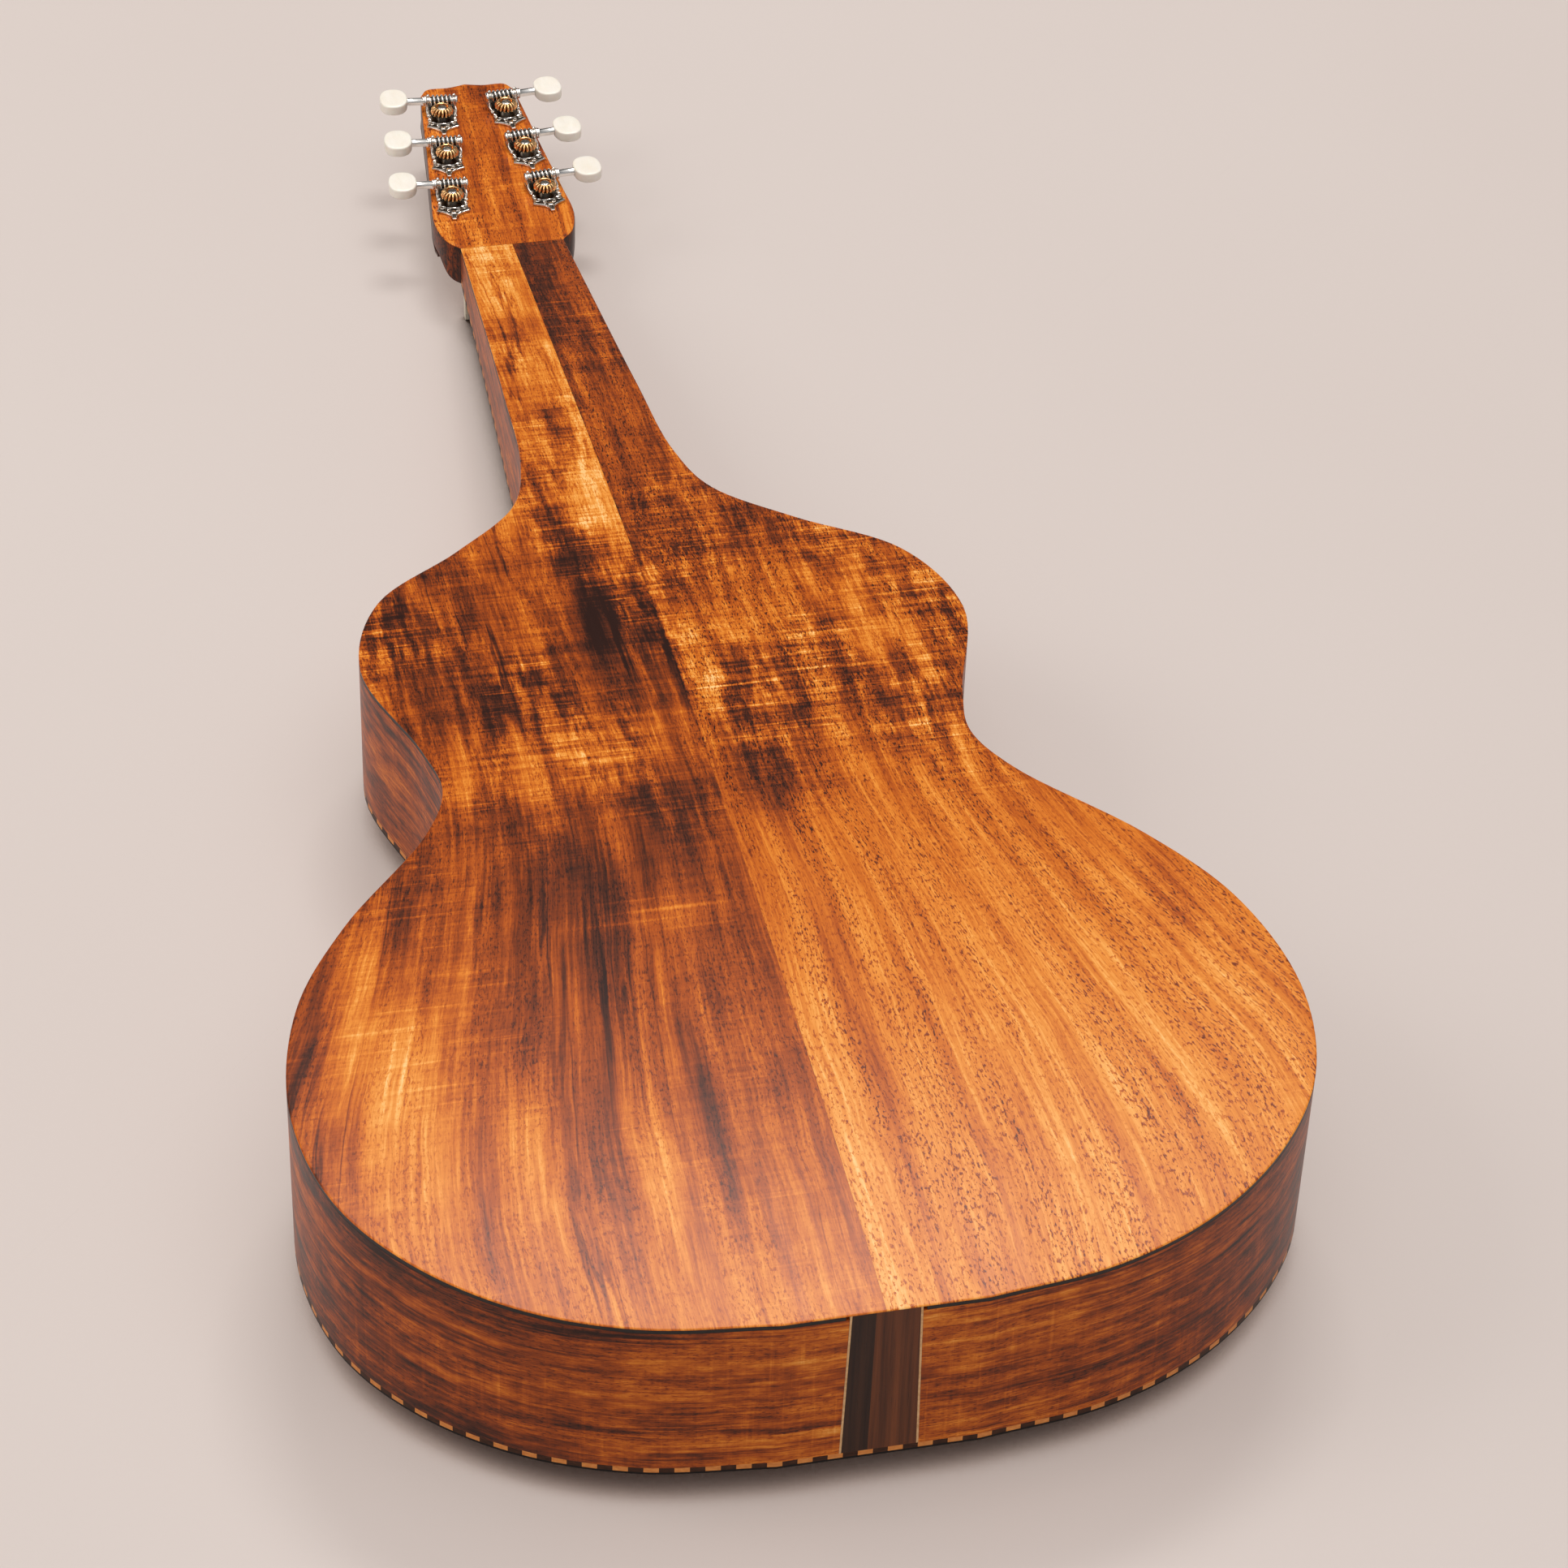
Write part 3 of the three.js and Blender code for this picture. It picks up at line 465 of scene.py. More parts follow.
def koa(name, source="object", tone=0.5, figure=0.5, streaks=0.3, shift=(0, 0, 0), along=None,
        figure_along=None, shade=None, roughness=0.29, pores=1.0, fan=0.0, sway=0.02, specular=0.19,
        broad_weight=0.55, mottle=0.12, length=0.935, start=-0.4675):
    """Figured koa: grain along y, plaid curl across it, dark pores and a satin film of lacquer.

    A noise's scale counts its waves in a metre, across the grain, along it and through the wood.
    along and figure_along are stops of tone and of figure over the board's length. fan
    spreads the grain towards the tail, and sway bends it.
    """
    p = Paint(name)
    place = p.place(source)
    split = p.split(place)
    run = p.math("DIVIDE", p.minus(split[1], start), length, clamp=True)

    # the fibres' own coordinates
    bend = p.noise(place, (7, 3.2, 7), 2, 0.5, shift)
    ripple = p.noise(place, (30, 22, 30), 2, 0.5, shift)
    slide = split[0]
    if fan:
        spread = p.spread(split[1], -0.42, -0.14, 1 + fan, 1)
        slide = p.math("DIVIDE", slide, spread)
    slide = p.swayed(slide, bend, sway)
    slide = p.swayed(slide, ripple, 0.0025)
    fibre = p.node("CombineXYZ", X=slide, Y=split[1], Z=split[2]).outputs[0]

    def moved_by(amount):
        return tuple(s + amount for s in shift)

    # what runs with the grain: bands of three widths and the dark veins
    broad = p.noise(fibre, (38, 1.9, 10), 2.5, 0.55, shift)
    narrow = p.noise(fibre, (150, 4.0, 40), 4, 0.6, shift)
    fine = p.noise(fibre, (760, 16, 200), 4, 0.72, shift)
    blotch = p.noise(fibre, (270, 75, 60), 3, 0.6, moved_by(2.2))
    line = p.noise(fibre, (52, 1.3, 20), 4, 0.62, moved_by(3.7))
    line = p.spread(p.math("ABSOLUTE", p.minus(line, 0.5)), 0.0, 0.018, 1, 0)
    gaps = p.noise(fibre, (30, 6, 9), 2, 0.5, moved_by(6.2))
    line = p.times(line, p.spread(gaps, 0.4, 0.62))

    # what crosses it: fingers, curl, frayed lines and bright flashes
    fingers = p.spread(p.noise(fibre, (75, 14, 9), 6, 0.74, moved_by(1.3), 0.15), 0.41, 0.60)
    curl = p.noise(place, (13, 100, 9), 6, 0.72, moved_by(4.4), 0.2)
    fray = p.noise(place, (36, 640, 30), 3, 0.65, moved_by(2.9))
    patch = p.spread(p.noise(place, (17, 11, 15), 2, 0.5, moved_by(8.1)), 0.40, 0.60)
    flash = p.noise(place, (16, 360, 5), 3, 0.62, moved_by(5.9))
    flash = p.times(p.spread(flash, 0.56, 0.70), patch)
    strength = p.curve(run, figure_along) if figure_along else figure
    weight = p.times(strength, p.math("MULTIPLY_ADD", patch, 0.6, 0.4))

    level = p.swayed(tone, broad, broad_weight)
    if along:
        level = p.math("ADD", level, p.minus(p.curve(run, along), 0.5))
    level = p.swayed(level, narrow, 0.60)
    level = p.swayed(level, fine, 0.72)
    level = p.swayed(level, blotch, mottle)
    plaid = p.times(p.minus(fingers, 0.62), 0.46)
    plaid = p.swayed(plaid, curl, 1.15)
    plaid = p.swayed(plaid, fray, 1.00)
    level = p.math("MULTIPLY_ADD", plaid, weight, level)
    flash = p.times(flash, p.math("ADD", strength, 0.15))
    level = p.math("MULTIPLY_ADD", flash, 0.26, level)
    level = p.minus(level, p.times(line, streaks))
    if shade:
        level = shade(p, split, level)

    # pores, which come in rows
    speck = p.noise(fibre, (1650, 400, 500), 2.5, 0.6, shift)
    row = p.spread(p.noise(fibre, (110, 7, 50), 3, 0.6, moved_by(7.3)), 0.36, 0.60, 0.25, 1)
    row = p.math("MULTIPLY_ADD", weight, 0.4, p.times(row, pores))
    pore = p.times(p.spread(speck, 0.51, 0.66), row)
    level = p.minus(level, p.times(pore, 0.36), clamp=True)
    colour = p.ramp(level, KOA)
    p.bump(p.math("ADD", p.times(pore, -1), p.times(fine, 0.3)), 0.00005, 0.3)
    rough = p.math("MULTIPLY_ADD", narrow, 0.10, roughness - 0.05)
    return p.finish(colour, rough, specular=specular)


def clouds(*ovals):
    """Soft ovals in the wood: x, y, half width and half length in metres, and how much darker."""

    def apply(p, split, level):
        for x, y, half_x, half_y, depth in ovals:
            dx = p.math("DIVIDE", p.minus(split[0], x), half_x)
            dy = p.math("DIVIDE", p.minus(split[1], y), half_y)
            reach = p.math("ADD", p.times(dx, dx), p.times(dy, dy))
            cover = p.spread(p.math("SQRT", reach), 0.2, 1.1, 1, 0)
            level = p.minus(level, p.times(cover, depth))
        return level

    return apply


def plain_wood(name, dark, light, source="object", grain=(140, 5, 140), roughness=0.45, coat=0.0,
               pores=0.35):
    """Straight-grained wood between two colours, grain along y."""
    p = Paint(name)
    place = p.place(source)
    line = p.noise(place, grain, 4, 0.62)
    broad = p.noise(place, tuple(g * 0.22 for g in grain), 2, 0.5, (4, 1, 2))
    pore = p.spread(p.noise(place, tuple(g * 8 for g in grain), 2, 0.5), 0.60, 0.72)
    value = p.math("MULTIPLY_ADD", line, 0.65, p.times(broad, 0.35))
    value = p.minus(p.spread(value, 0.3, 0.7), p.times(pore, pores), clamp=True)
    p.bump(p.minus(line, pore), 0.00006, 0.4)
    rough = p.math("MULTIPLY_ADD", line, 0.12, roughness - 0.06)
    return p.finish(p.ramp(value, [(0, dark), (1, light)]), rough, coat=coat, coat_roughness=0.2,
                    specular=0.2)


def rope(name):
    """Alternating light and dark blocks above a black line, laid along the soundboard's edge."""
    p = Paint(name)
    place = p.place("grain")
    split = p.split(place)
    block = 0.0056
    phase = p.math("FRACT", p.math("DIVIDE", split[1], 2 * block))
    light = p.math("LESS_THAN", phase, 0.5)
    above = p.math("GREATER_THAN", split[0], BLACK_LINE * MM)
    tone = p.noise(place, (900, 320, 900), 3, 0.6)
    pale = p.ramp(tone, [(0.25, (0.54, 0.165, 0.035)), (0.75, (0.80, 0.32, 0.085))])
    brown = p.ramp(tone, [(0.2, (0.012, 0.006, 0.004)), (0.8, (0.085, 0.030, 0.014))])
    row = p.blend(light, brown, pale)
    colour = p.blend(above, (0.008, 0.006, 0.005, 1), row)
    p.bump(tone, 0.00004, 0.3)
    return p.finish(colour, 0.4, specular=0.12)


def bone(name, light, shade, roughness=0.35, subsurface=0.08):
    """Bone or cast cream plastic with faint cloudy streaks."""
    p = Paint(name)
    place = p.place()
    cloud = p.noise(place, (160, 60, 220), 4, 0.6)
    fleck = p.noise(place, (900, 240, 900), 3, 0.6)
    value = p.math("MULTIPLY_ADD", cloud, 0.75, p.times(fleck, 0.25))
    p.bump(fleck, 0.00004, 0.25)
    for key, number in (("Weight", subsurface), ("Scale", 0.002), ("Radius", (1.0, 0.7, 0.45))):
        p.shader.inputs["Subsurface " + key].default_value = number
    return p.finish(p.ramp(value, [(0.3, shade), (0.7, light)]), roughness, coat=0.15)


def metal(name, colour, dark, roughness, tarnish=0.35, grooved=False):
    """Plated or turned metal with fine scratches and a little tarnish in patches. A grooved
    one has painted shade where its grain attribute is low, in the valleys of a thread."""
    p = Paint(name)
    place = p.place()
    scratch = p.noise(place, (700, 700, 700), 3, 0.65)
    stain = p.spread(p.noise(place, (210, 260, 230), 3, 0.6, (3, 2, 7)), 0.45, 0.75)
    tint = p.blend(p.times(stain, tarnish), (*colour, 1), (*dark, 1))
    if grooved:
        crest = p.split(p.place("grain"))[0]
        # painted shade, near black, in the worm's thread valleys and between the gear's flutes
        painted_groove_shade = p.spread(p.math("DIVIDE", crest, MM), 0.1, 0.6, 0.9, 0)
        tint = p.blend(painted_groove_shade, tint, (0.02, 0.014, 0.010, 1))
    rough = p.math("MULTIPLY_ADD", scratch, 0.12, roughness - 0.06)
    p.bump(scratch, 0.00002, 0.3)
    return p.finish(tint, rough, metallic=1.0)


def floor_paint():
    """Pale paper. A painted glow lifts its shadows; painted shade darkens it under the body."""
    p = Paint("pale_paper")
    place = p.place()
    cloud = p.noise(place, (1.3, 0.9, 1), 3, 0.5)
    fibre = p.noise(place, (420, 380, 400), 3, 0.6)
    value = p.math("MULTIPLY_ADD", fibre, 0.12, cloud)
    p.bump(fibre, 0.0002, 0.15)
    # the paper's own colour is drawn darker, and the painted glow makes up for it
    paper = p.ramp(value, [(0.35, (0.395, 0.365, 0.350)), (0.75, (0.420, 0.395, 0.380))])
    # how open the paper is overhead, which sets both the painted shade and the painted glow
    sky = p.node("AmbientOcclusion", {"samples": 12}, Distance=0.025).outputs["AO"]
    sky = p.spread(sky, 0.43, 0.67)
    # painted shade: warm and dark where the body is close overhead
    tint = p.ramp(sky, [(0, (0.10, 0.05, 0.035)), (0.6, (0.66, 0.52, 0.44)), (1, (1, 1, 1))])
    # painted glow: the paper gives off light of its own, less of it under the body
    p.put(p.shader.inputs["Emission Color"], (0.250, 0.190, 0.160, 1))
    p.put(p.shader.inputs["Emission Strength"], sky)
    return p.finish(p.blend(1.0, paper, tint, "MULTIPLY"), 0.7, specular=0.3)


def painted_shade_on_sides(p, _, level):
    """Painted shade on faces that stand on edge, such as the headstock's sides."""
    facing = p.split(p.node("NewGeometry").outputs["Normal"])[2]
    return p.minus(level, p.spread(p.math("ABSOLUTE", facing), 0.2, 0.8, 0.48, 0))


WEDGE_WOOD = {"source": "grain", "grain": (300, 7, 300), "roughness": 0.36, "coat": 0.05}

MAT = {
    "back_left": koa(
        "koa_back_treble", streaks=0.26, shift=(2.2, 0.3, 0), pores=0.5,
        fan=0.45, sway=0.008,
        along=[(0, 0.72), (0.06, 0.60), (0.12, 0.53), (0.18, 0.49), (0.26, 0.38), (0.32, 0.41),
               (0.36, 0.45), (0.42, 0.44), (0.50, 0.50), (0.56, 0.64), (0.66, 0.72), (0.78, 0.84),
               (1, 0.92)],
        figure_along=[(0, 0.17), (0.22, 0.23), (0.30, 0.55), (0.36, 0.95), (0.52, 1.0), (0.62, 0.75),
                      (0.70, 0.75), (0.76, 0.7), (0.84, 0.4), (1, 0.2)],
        shade=clouds(
            # paler clouds: beside the outer edge, near the tail, across the waist, up the neck
            (-0.156, -0.315, 0.026, 0.110, -0.24),
            (-0.112, -0.380, 0.013, 0.065, -0.16),
            (-0.066, -0.385, 0.012, 0.050, -0.22),
            (-0.060, -0.145, 0.110, 0.030, -0.14),
            (-0.010, 0.050, 0.012, 0.060, -0.20),
            # darker ones: below the waist, towards the tail, and the smudges by the seam
            (-0.066, -0.235, 0.024, 0.080, 0.20),
            (-0.028, -0.200, 0.020, 0.045, 0.14),
            (-0.100, -0.300, 0.022, 0.060, 0.10),
            (-0.042, -0.365, 0.009, 0.080, 0.18),
            (-0.024, -0.050, 0.013, 0.050, 0.36),
            (-0.006, -0.060, 0.009, 0.060, 0.22),
            (0.000, -0.085, 0.0035, 0.060, 0.34),
            (-0.012, 0.130, 0.013, 0.032, 0.22),
            (-0.018, 0.228, 0.030, 0.020, 0.22),
            # thin pale bars across the grain, beside the seam below the waist
            (-0.034, -0.246, 0.030, 0.0016, -0.16),
            (-0.052, -0.252, 0.030, 0.0012, -0.12),
            (-0.026, -0.258, 0.024, 0.0014, -0.10),
            (-0.044, -0.239, 0.024, 0.0010, -0.10),
            (-0.040, -0.249, 0.055, 0.014, -0.10),
        ),
    ),
    "back_right": koa(
        "koa_back_bass", streaks=0.10, shift=(5.1, 1.7, 0), fan=0.45,
        pores=1.2, broad_weight=0.27,
        along=[(0, 0.75), (0.12, 0.73), (0.20, 0.69), (0.32, 0.62), (0.36, 0.58), (0.42, 0.63),
               (0.48, 0.59), (0.53, 0.41), (0.58, 0.49), (0.66, 0.46), (0.78, 0.34), (1, 0.30)],
        figure_along=[(0, 0.0), (0.28, 0.06), (0.335, 0.75), (0.40, 1.0), (0.46, 0.9), (0.56, 0.8),
                      (0.66, 0.6), (1, 0.5)],
        shade=clouds(
            (0.006, -0.360, 0.010, 0.240, -0.08),
            (0.024, -0.300, 0.010, 0.130, 0.12),
            # the seam through the upper bout: a thin dark line beside a paler wedge
            (0.010, -0.075, 0.008, 0.070, -0.26),
            (0.000, -0.080, 0.0012, 0.090, 0.40),
            (0.026, 0.030, 0.020, 0.034, 0.14),
            (0.020, -0.170, 0.015, 0.042, 0.30),
            (0.158, -0.275, 0.013, 0.045, 0.16),
            (0.060, -0.130, 0.080, 0.016, 0.16),
            (0.014, 0.080, 0.018, 0.070, 0.10),
            (0.150, -0.340, 0.060, 0.120, -0.06),
        ),
    ),
    "side": koa(
        "koa_side", source="grain", tone=0.44, figure=0.15, streaks=0.22, shift=(1.1, 4.2, 0),
        roughness=0.36, pores=0.5, start=0, specular=0.17, broad_weight=0.75, mottle=0.8,
        along=[(0, 0.60), (0.06, 0.52), (0.12, 0.40), (0.20, 0.33), (0.34, 0.46), (0.50, 0.50),
               (1, 0.56)],
    ),
    # the headstock's sides get painted shade
    "head": koa("koa_head", tone=0.58, figure=0.38, streaks=0.10, shift=(9.3, 2.6, 0),
                broad_weight=0.24, shade=painted_shade_on_sides),
    "top": koa("koa_top", tone=0.6, figure=0.4, streaks=0.10, shift=(6.4, 7.7, 0)),
    "rosewood": plain_wood(
        "rosewood", (0.010, 0.004, 0.003), (0.115, 0.036, 0.018), grain=(260, 6, 260), coat=0.2,
    ),
    "wedge": plain_wood(
        "wedge_rosewood", (0.028, 0.009, 0.005), (0.205, 0.056, 0.016), **WEDGE_WOOD,
    ),
    "wedge_dark": plain_wood(
        "wedge_dark_rosewood", (0.009, 0.004, 0.003), (0.060, 0.021, 0.009), **WEDGE_WOOD,
    ),
    "spruce": plain_wood("inner_spruce", (0.44, 0.27, 0.13), (0.70, 0.50, 0.29), grain=(500, 5, 500)),
    "maple": plain_wood(
        "maple_line", (0.55, 0.29, 0.12), (0.80, 0.50, 0.25), grain=(600, 30, 600), pores=0.1,
    ),
    "black": plain_wood(
        "black_line", (0.005, 0.004, 0.004), (0.020, 0.013, 0.010), grain=(500, 10, 500), coat=0.2,
    ),
    "rope": rope("rope_binding"),
    "bone": bone("bone", (0.84, 0.77, 0.62), (0.66, 0.57, 0.42)),
    "cream": bone("cream_buttons", (0.93, 0.87, 0.78), (0.84, 0.76, 0.64), 0.30, 0.12),
    "pearl": bone("pearl_dots", (0.86, 0.86, 0.82), (0.52, 0.58, 0.58), 0.2, 0.0),
    "nickel": metal("nickel", (0.78, 0.72, 0.65), (0.22, 0.17, 0.13), 0.17, tarnish=0.6),
    "thread": metal("worm_nickel", (0.86, 0.82, 0.77), (0.40, 0.35, 0.30), 0.18, grooved=True),
    "dark_ground": metal("dark_ground_nickel", (0.10, 0.085, 0.07), (0.02, 0.017, 0.014), 0.3, tarnish=0.8),
    "bronze": metal("bronze", (0.98, 0.58, 0.26), (0.50, 0.22, 0.08), 0.20, grooved=True),
    "steel": metal("string_steel", (0.70, 0.69, 0.67), (0.35, 0.33, 0.30), 0.25),
    "wound": metal("wound_bronze", (0.72, 0.47, 0.24), (0.35, 0.20, 0.10), 0.3),
}


# ---------------- body

SIDE_TOP = BACK_SKIN + BACK_LINE

for label, side, look, record_slot in (
    ("treble", -1, "back_left", "koa_back_red"),
    ("bass", 1, "back_right", "koa_back_gold"),
):
    plate = layered(
        HALF,
        [(6, below(0)), (0.7, below(0)), (0.32, below(0.02)), (0.10, below(0.10)), (0, below(0.25)),
         (0, below(BACK_SKIN)), (SIDE_SKIN + 0.1, below(BACK_SKIN)),
         (SIDE_SKIN + 0.1, below(BACK_THICKNESS)), (6, below(BACK_THICKNESS))],
        side=side, seam=0.02,
    )
    make(f"fine_back_{label}", *plate, MAT[look], stands_for=[f"back_{label}_half"], slot=record_slot)

RIM = [p for p in HALF if p.x > WEDGE_FRONT + 1.5 or p.y > 1]
RIM_START = Vector((WEDGE_FRONT + MAPLE_LINE, 0))
RIM_ROUTE = [RIM_START] + RIM


def rim_strip(side, section, start_lean=0.0):
    """One side's strip from the tail wedge to the neck's end, with its grain along it."""
    curves = [inset(RIM_ROUTE, distance, flat=2) for distance, _ in section]
    lengths = arc_lengths(RIM_ROUTE)
    verts, grain = [], []
    for i in range(len(RIM_ROUTE)):
        for c, (_, z) in zip(curves, section):
            height = z(c[i].y)
            x = c[i].x - (start_lean * (height - BINDING_HEIGHT) / back_height(0) if i == 0 else 0)
            verts.append((side * x, c[i].y, height))
            grain.append((height, lengths[i], 10 * side))
    return verts, tube_faces(len(RIM_ROUTE), len(section)), grain


for label, side in SIDES:
    section = [(0, level(BINDING_HEIGHT)), (0, below(SIDE_TOP)),
               (SIDE_SKIN, below(SIDE_TOP)), (SIDE_SKIN, level(BINDING_HEIGHT))]
    verts, faces, grain = rim_strip(side, section, WEDGE_FRONT - WEDGE_BACK)
    make(f"fine_side_{label}", verts, faces, MAT["side"], grain=grain,
         stands_for=[f"side_{label}"], slot="koa_side")
    section = [(0.05, below(SIDE_TOP)), (0.05, below(BACK_SKIN)),
               (SIDE_SKIN, below(BACK_SKIN)), (SIDE_SKIN, below(SIDE_TOP))]
    verts, faces, grain = rim_strip(side, section)
    make(f"back_line_{label}", verts, faces, MAT["black"], slot="rosewood")

# the tail wedge, with a darker third and a maple line down each edge
WEDGE_TOP = back_height(0) - BACK_SKIN
WEDGE_JOINT = -0.30  # where its dark and red parts meet, from -1 to 1 across it


def tail_strip(low_x0, low_x1, high_x0, high_x1, front=0.0):
    verts = [
        (x, y, z)
        for z, (x0, x1) in ((BINDING_HEIGHT, (low_x0, low_x1)), (WEDGE_TOP, (high_x0, high_x1)))
        for x, y in ((x0, front), (x1, front), (x1, SIDE_SKIN), (x0, SIDE_SKIN))
    ]
    return verts, tube_faces(2, 4), [(x, z, y) for x, y, z in verts]


def wedge_span(a, b):
    """Between two shares of the wedge's width, from -1 to 1, at its foot and at its top."""
    return a * WEDGE_FRONT, b * WEDGE_FRONT, a * WEDGE_BACK, b * WEDGE_BACK


verts, faces, grain = tail_strip(*wedge_span(WEDGE_JOINT, 1))
make("wedge_red_part", verts, faces, MAT["wedge"], grain=grain, stands_for=["tail_wedge"],
     slot="rosewood")
verts, faces, grain = tail_strip(*wedge_span(-1, WEDGE_JOINT))
make("wedge_dark_part", verts, faces, MAT["wedge_dark"], grain=grain, slot="rosewood")
for side in (-1, 1):
    verts, faces, grain = tail_strip(
        side * WEDGE_FRONT, side * (WEDGE_FRONT + MAPLE_LINE),
        side * WEDGE_BACK, side * (WEDGE_BACK + MAPLE_LINE), front=-0.02,
    )
    make(f"wedge_line_{'bass' if side > 0 else 'treble'}", verts, faces, MAT["maple"],
         slot="rope_binding")

# the rope binding runs round the soundboard's edge from one neck end to the other
WHOLE = ring_outline(0)
lengths = arc_lengths(WHOLE)
section = [(0, 0.5), (0, BINDING_HEIGHT), (BINDING_WIDTH, BINDING_HEIGHT), (BINDING_WIDTH, 0), (0.5, 0)]
curves = [ring_outline(distance) for distance, _ in section]
verts, grain = [], []
for i in range(len(WHOLE)):
    for curve, (_, z) in zip(curves, section):
        verts.append((curve[i].x, curve[i].y, z))
        grain.append((z, lengths[i], 0))
make("rope_edge", verts, tube_faces(len(WHOLE), len(section)), MAT["rope"], grain=grain,
     stands_for=["binding"], slot="rope_binding")

# ---------------- headstock

HEAD_HALF = centripetal(HEAD_OUTLINE[:7], 6)[:-1] + centripetal(HEAD_OUTLINE[6:], 5)


def behind(drop):
    return lambda y: head_back(y) - drop


def in_front(rise):
    return lambda y: head_front(y) + VENEER + rise


make(
    "fine_headstock",
    *layered(
        HEAD_HALF,
        [(4, behind(0)), (2.2, behind(0)), (1.1, behind(0.03)), (0.35, behind(0.35)),
         (0, behind(1.1)), (0, in_front(0)), (4, in_front(0))],
        flat=1, first=Vector((0, 1)), last=Vector((-1, 0)),
    ),
    MAT["head"], stands_for=["headstock"], slot="koa_head",
)


def repaint(node, look):
    """Another material on a CAD piece that keeps its own mesh."""
    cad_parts[node].data.materials.clear()
    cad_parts[node].data.materials.append(MAT[look])


for look, nodes in (
    ("top", "soundboard"), ("rosewood", "head_veneer fingerboard bridge"), ("bone", "nut saddle"),
    ("spruce", "top_lining back_lining tail_block top_bracing back_bracing"),
):
    for node in nodes.split():
        repaint(node, look)

# ---------------- the front

PROUD = 0.04  # how far an inlay stands out of the face it is let into
INLAY_DEPTH = 0.3
BOARD_INLAY = (-FINGERBOARD_THICKNESS - PROUD, -FINGERBOARD_THICKNESS + INLAY_DEPTH)
FRET_LINE = 0.9
MARKED_FRETS = ((3, 0), (5, 0), (7, 0), (9, 0), (12, 9), (12, -9), (15, 0), (17, 0))
DOT_RADIUS = 2.9
ROSETTE = (SOUNDHOLE_RADIUS + 4, SOUNDHOLE_RADIUS + 8)


def fret_y(number):
    return SADDLE_Y + SCALE_LENGTH * 2 ** (-number / 12)


def board_half(y):
    """Half the fingerboard's width, which narrows towards the nut."""
    share = (y - FINGERBOARD_START) / (NUT_Y - FINGERBOARD_START)
    return FINGERBOARD_END_HALF + (FINGERBOARD_NUT_HALF - FINGERBOARD_END_HALF) * share


def fret_line(number):
    y = fret_y(number)
    half = board_half(y) - 0.4
    outline = [Vector(p) for p in ((-half, y), (half, y), (half, y + FRET_LINE), (-half, y + FRET_LINE))]
    return slab(outline, *BOARD_INLAY, 0.02)


make("fret_lines", *joined([fret_line(n) for n in range(1, FRETS + 1)]), MAT["maple"],
     slot="rope_binding")
make(
    "position_dots",
    *joined([
        disc(x, (fret_y(n) + fret_y(n - 1)) / 2, DOT_RADIUS, *BOARD_INLAY) for n, x in MARKED_FRETS
    ]),
    MAT["pearl"], slot="cream",
)

ring_sides = 120
inner, outer = ROSETTE
verts, faces = hoop([(inner, -PROUD), (outer, -PROUD), (outer, INLAY_DEPTH), (inner, INLAY_DEPTH)],
                    ring_sides)
lengths = [2 * math.pi * k / ring_sides * (inner + outer) / 2 for k in range(ring_sides)] * 4
make("rosette", verts, faces, MAT["rope"], matrix=TO_ROW @ Matrix.Translation((0, SOUNDHOLE_Y, 0)),
     grain=[(BINDING_HEIGHT, length, 0) for length in lengths], slot="rope_binding")

PIN_TOP = -BRIDGE_THICKNESS - 3.1
pin_x = [(n - 2.5) * SADDLE_SPACING for n in range(6)]
make("pin_dots", *joined([disc(x, PIN_Y, 1.1, PIN_TOP - 0.1, PIN_TOP + 0.5) for x in pin_x]),
     MAT["pearl"], slot="cream")

for number, diameter in enumerate(STRING_DIAMETERS, 1):
    repaint(f"bridge_pin_{number}", "rosewood")
    repaint(f"string_{number}", "steel" if diameter < WOUND_FROM else "wound")

# ---------------- tuners

TUNER_COUNT = 3
FIRST_TUNER = (23.2, 828.8)
TUNER_STEP = (-3.4, 37.6)
TUNER_SPLAY = math.radians(5.2)
POST_HOLE = 3.35
POST_WAIST = 2.4
WAIST_MIDDLE = -22.0
WAIST_ROOM = 3.4
MOST_TURNS = 4.2
PLATE_THICKNESS = 1.2
RIM_RADIUS = 0.27
LUG_INNER, LUG_OUTER, LUG_HALF, LUG_TOP = 5.8, 7.4, 2.6, 8.3
SCREW_TOP = 7.2
SCREW_LOW = 6.3
BUTTON_ALONG, BUTTON_ACROSS, BUTTON_THICKNESS = 13.9, 17.4, 5.4


def tuner_matrix(side, number):
    """Gear's axis on Z, the worm towards the tip, the head's back face at z = 0, in mm."""
    x = side * (FIRST_TUNER[0] + TUNER_STEP[0] * (number - 1))
    y = FIRST_TUNER[1] + TUNER_STEP[1] * (number - 1)
    tilt = Matrix.Rotation(HEAD_TILT, 4, "X")
    splay = Matrix.Rotation(side * TUNER_SPLAY, 4, "Z")
    return TO_ROW @ Matrix.Translation((x, y, head_back(y))) @ tilt @ splay


# half of the base plate, from the tip of its two scallops up its right edge
SCALLOP = centripetal([(0.9, -15.5), (1.7, -12.6), (3.9, -10.6), (8.2, -8.4)], 5)
EDGE = centripetal([(8.2, -8.4), (7.5, -6.2), (7.1, -3.6), (6.7, -1), (7.6, 2.6), (7.7, 11.6)], 4)
PLATE_HALF = SCALLOP + EDGE[1:]
PLATE_LOOP = PLATE_HALF + [Vector((-p.x, p.y)) for p in reversed(PLATE_HALF)]
PLATE_MIDDLE = -2.0
PLATE_SCREW_Y = -10.9


def plate_line(across, along):
    """The plate's outline drawn in towards its middle, by these shares of its width and length."""
    return [Vector((p.x * across, (p.y - PLATE_MIDDLE) * along + PLATE_MIDDLE)) for p in PLATE_LOOP]


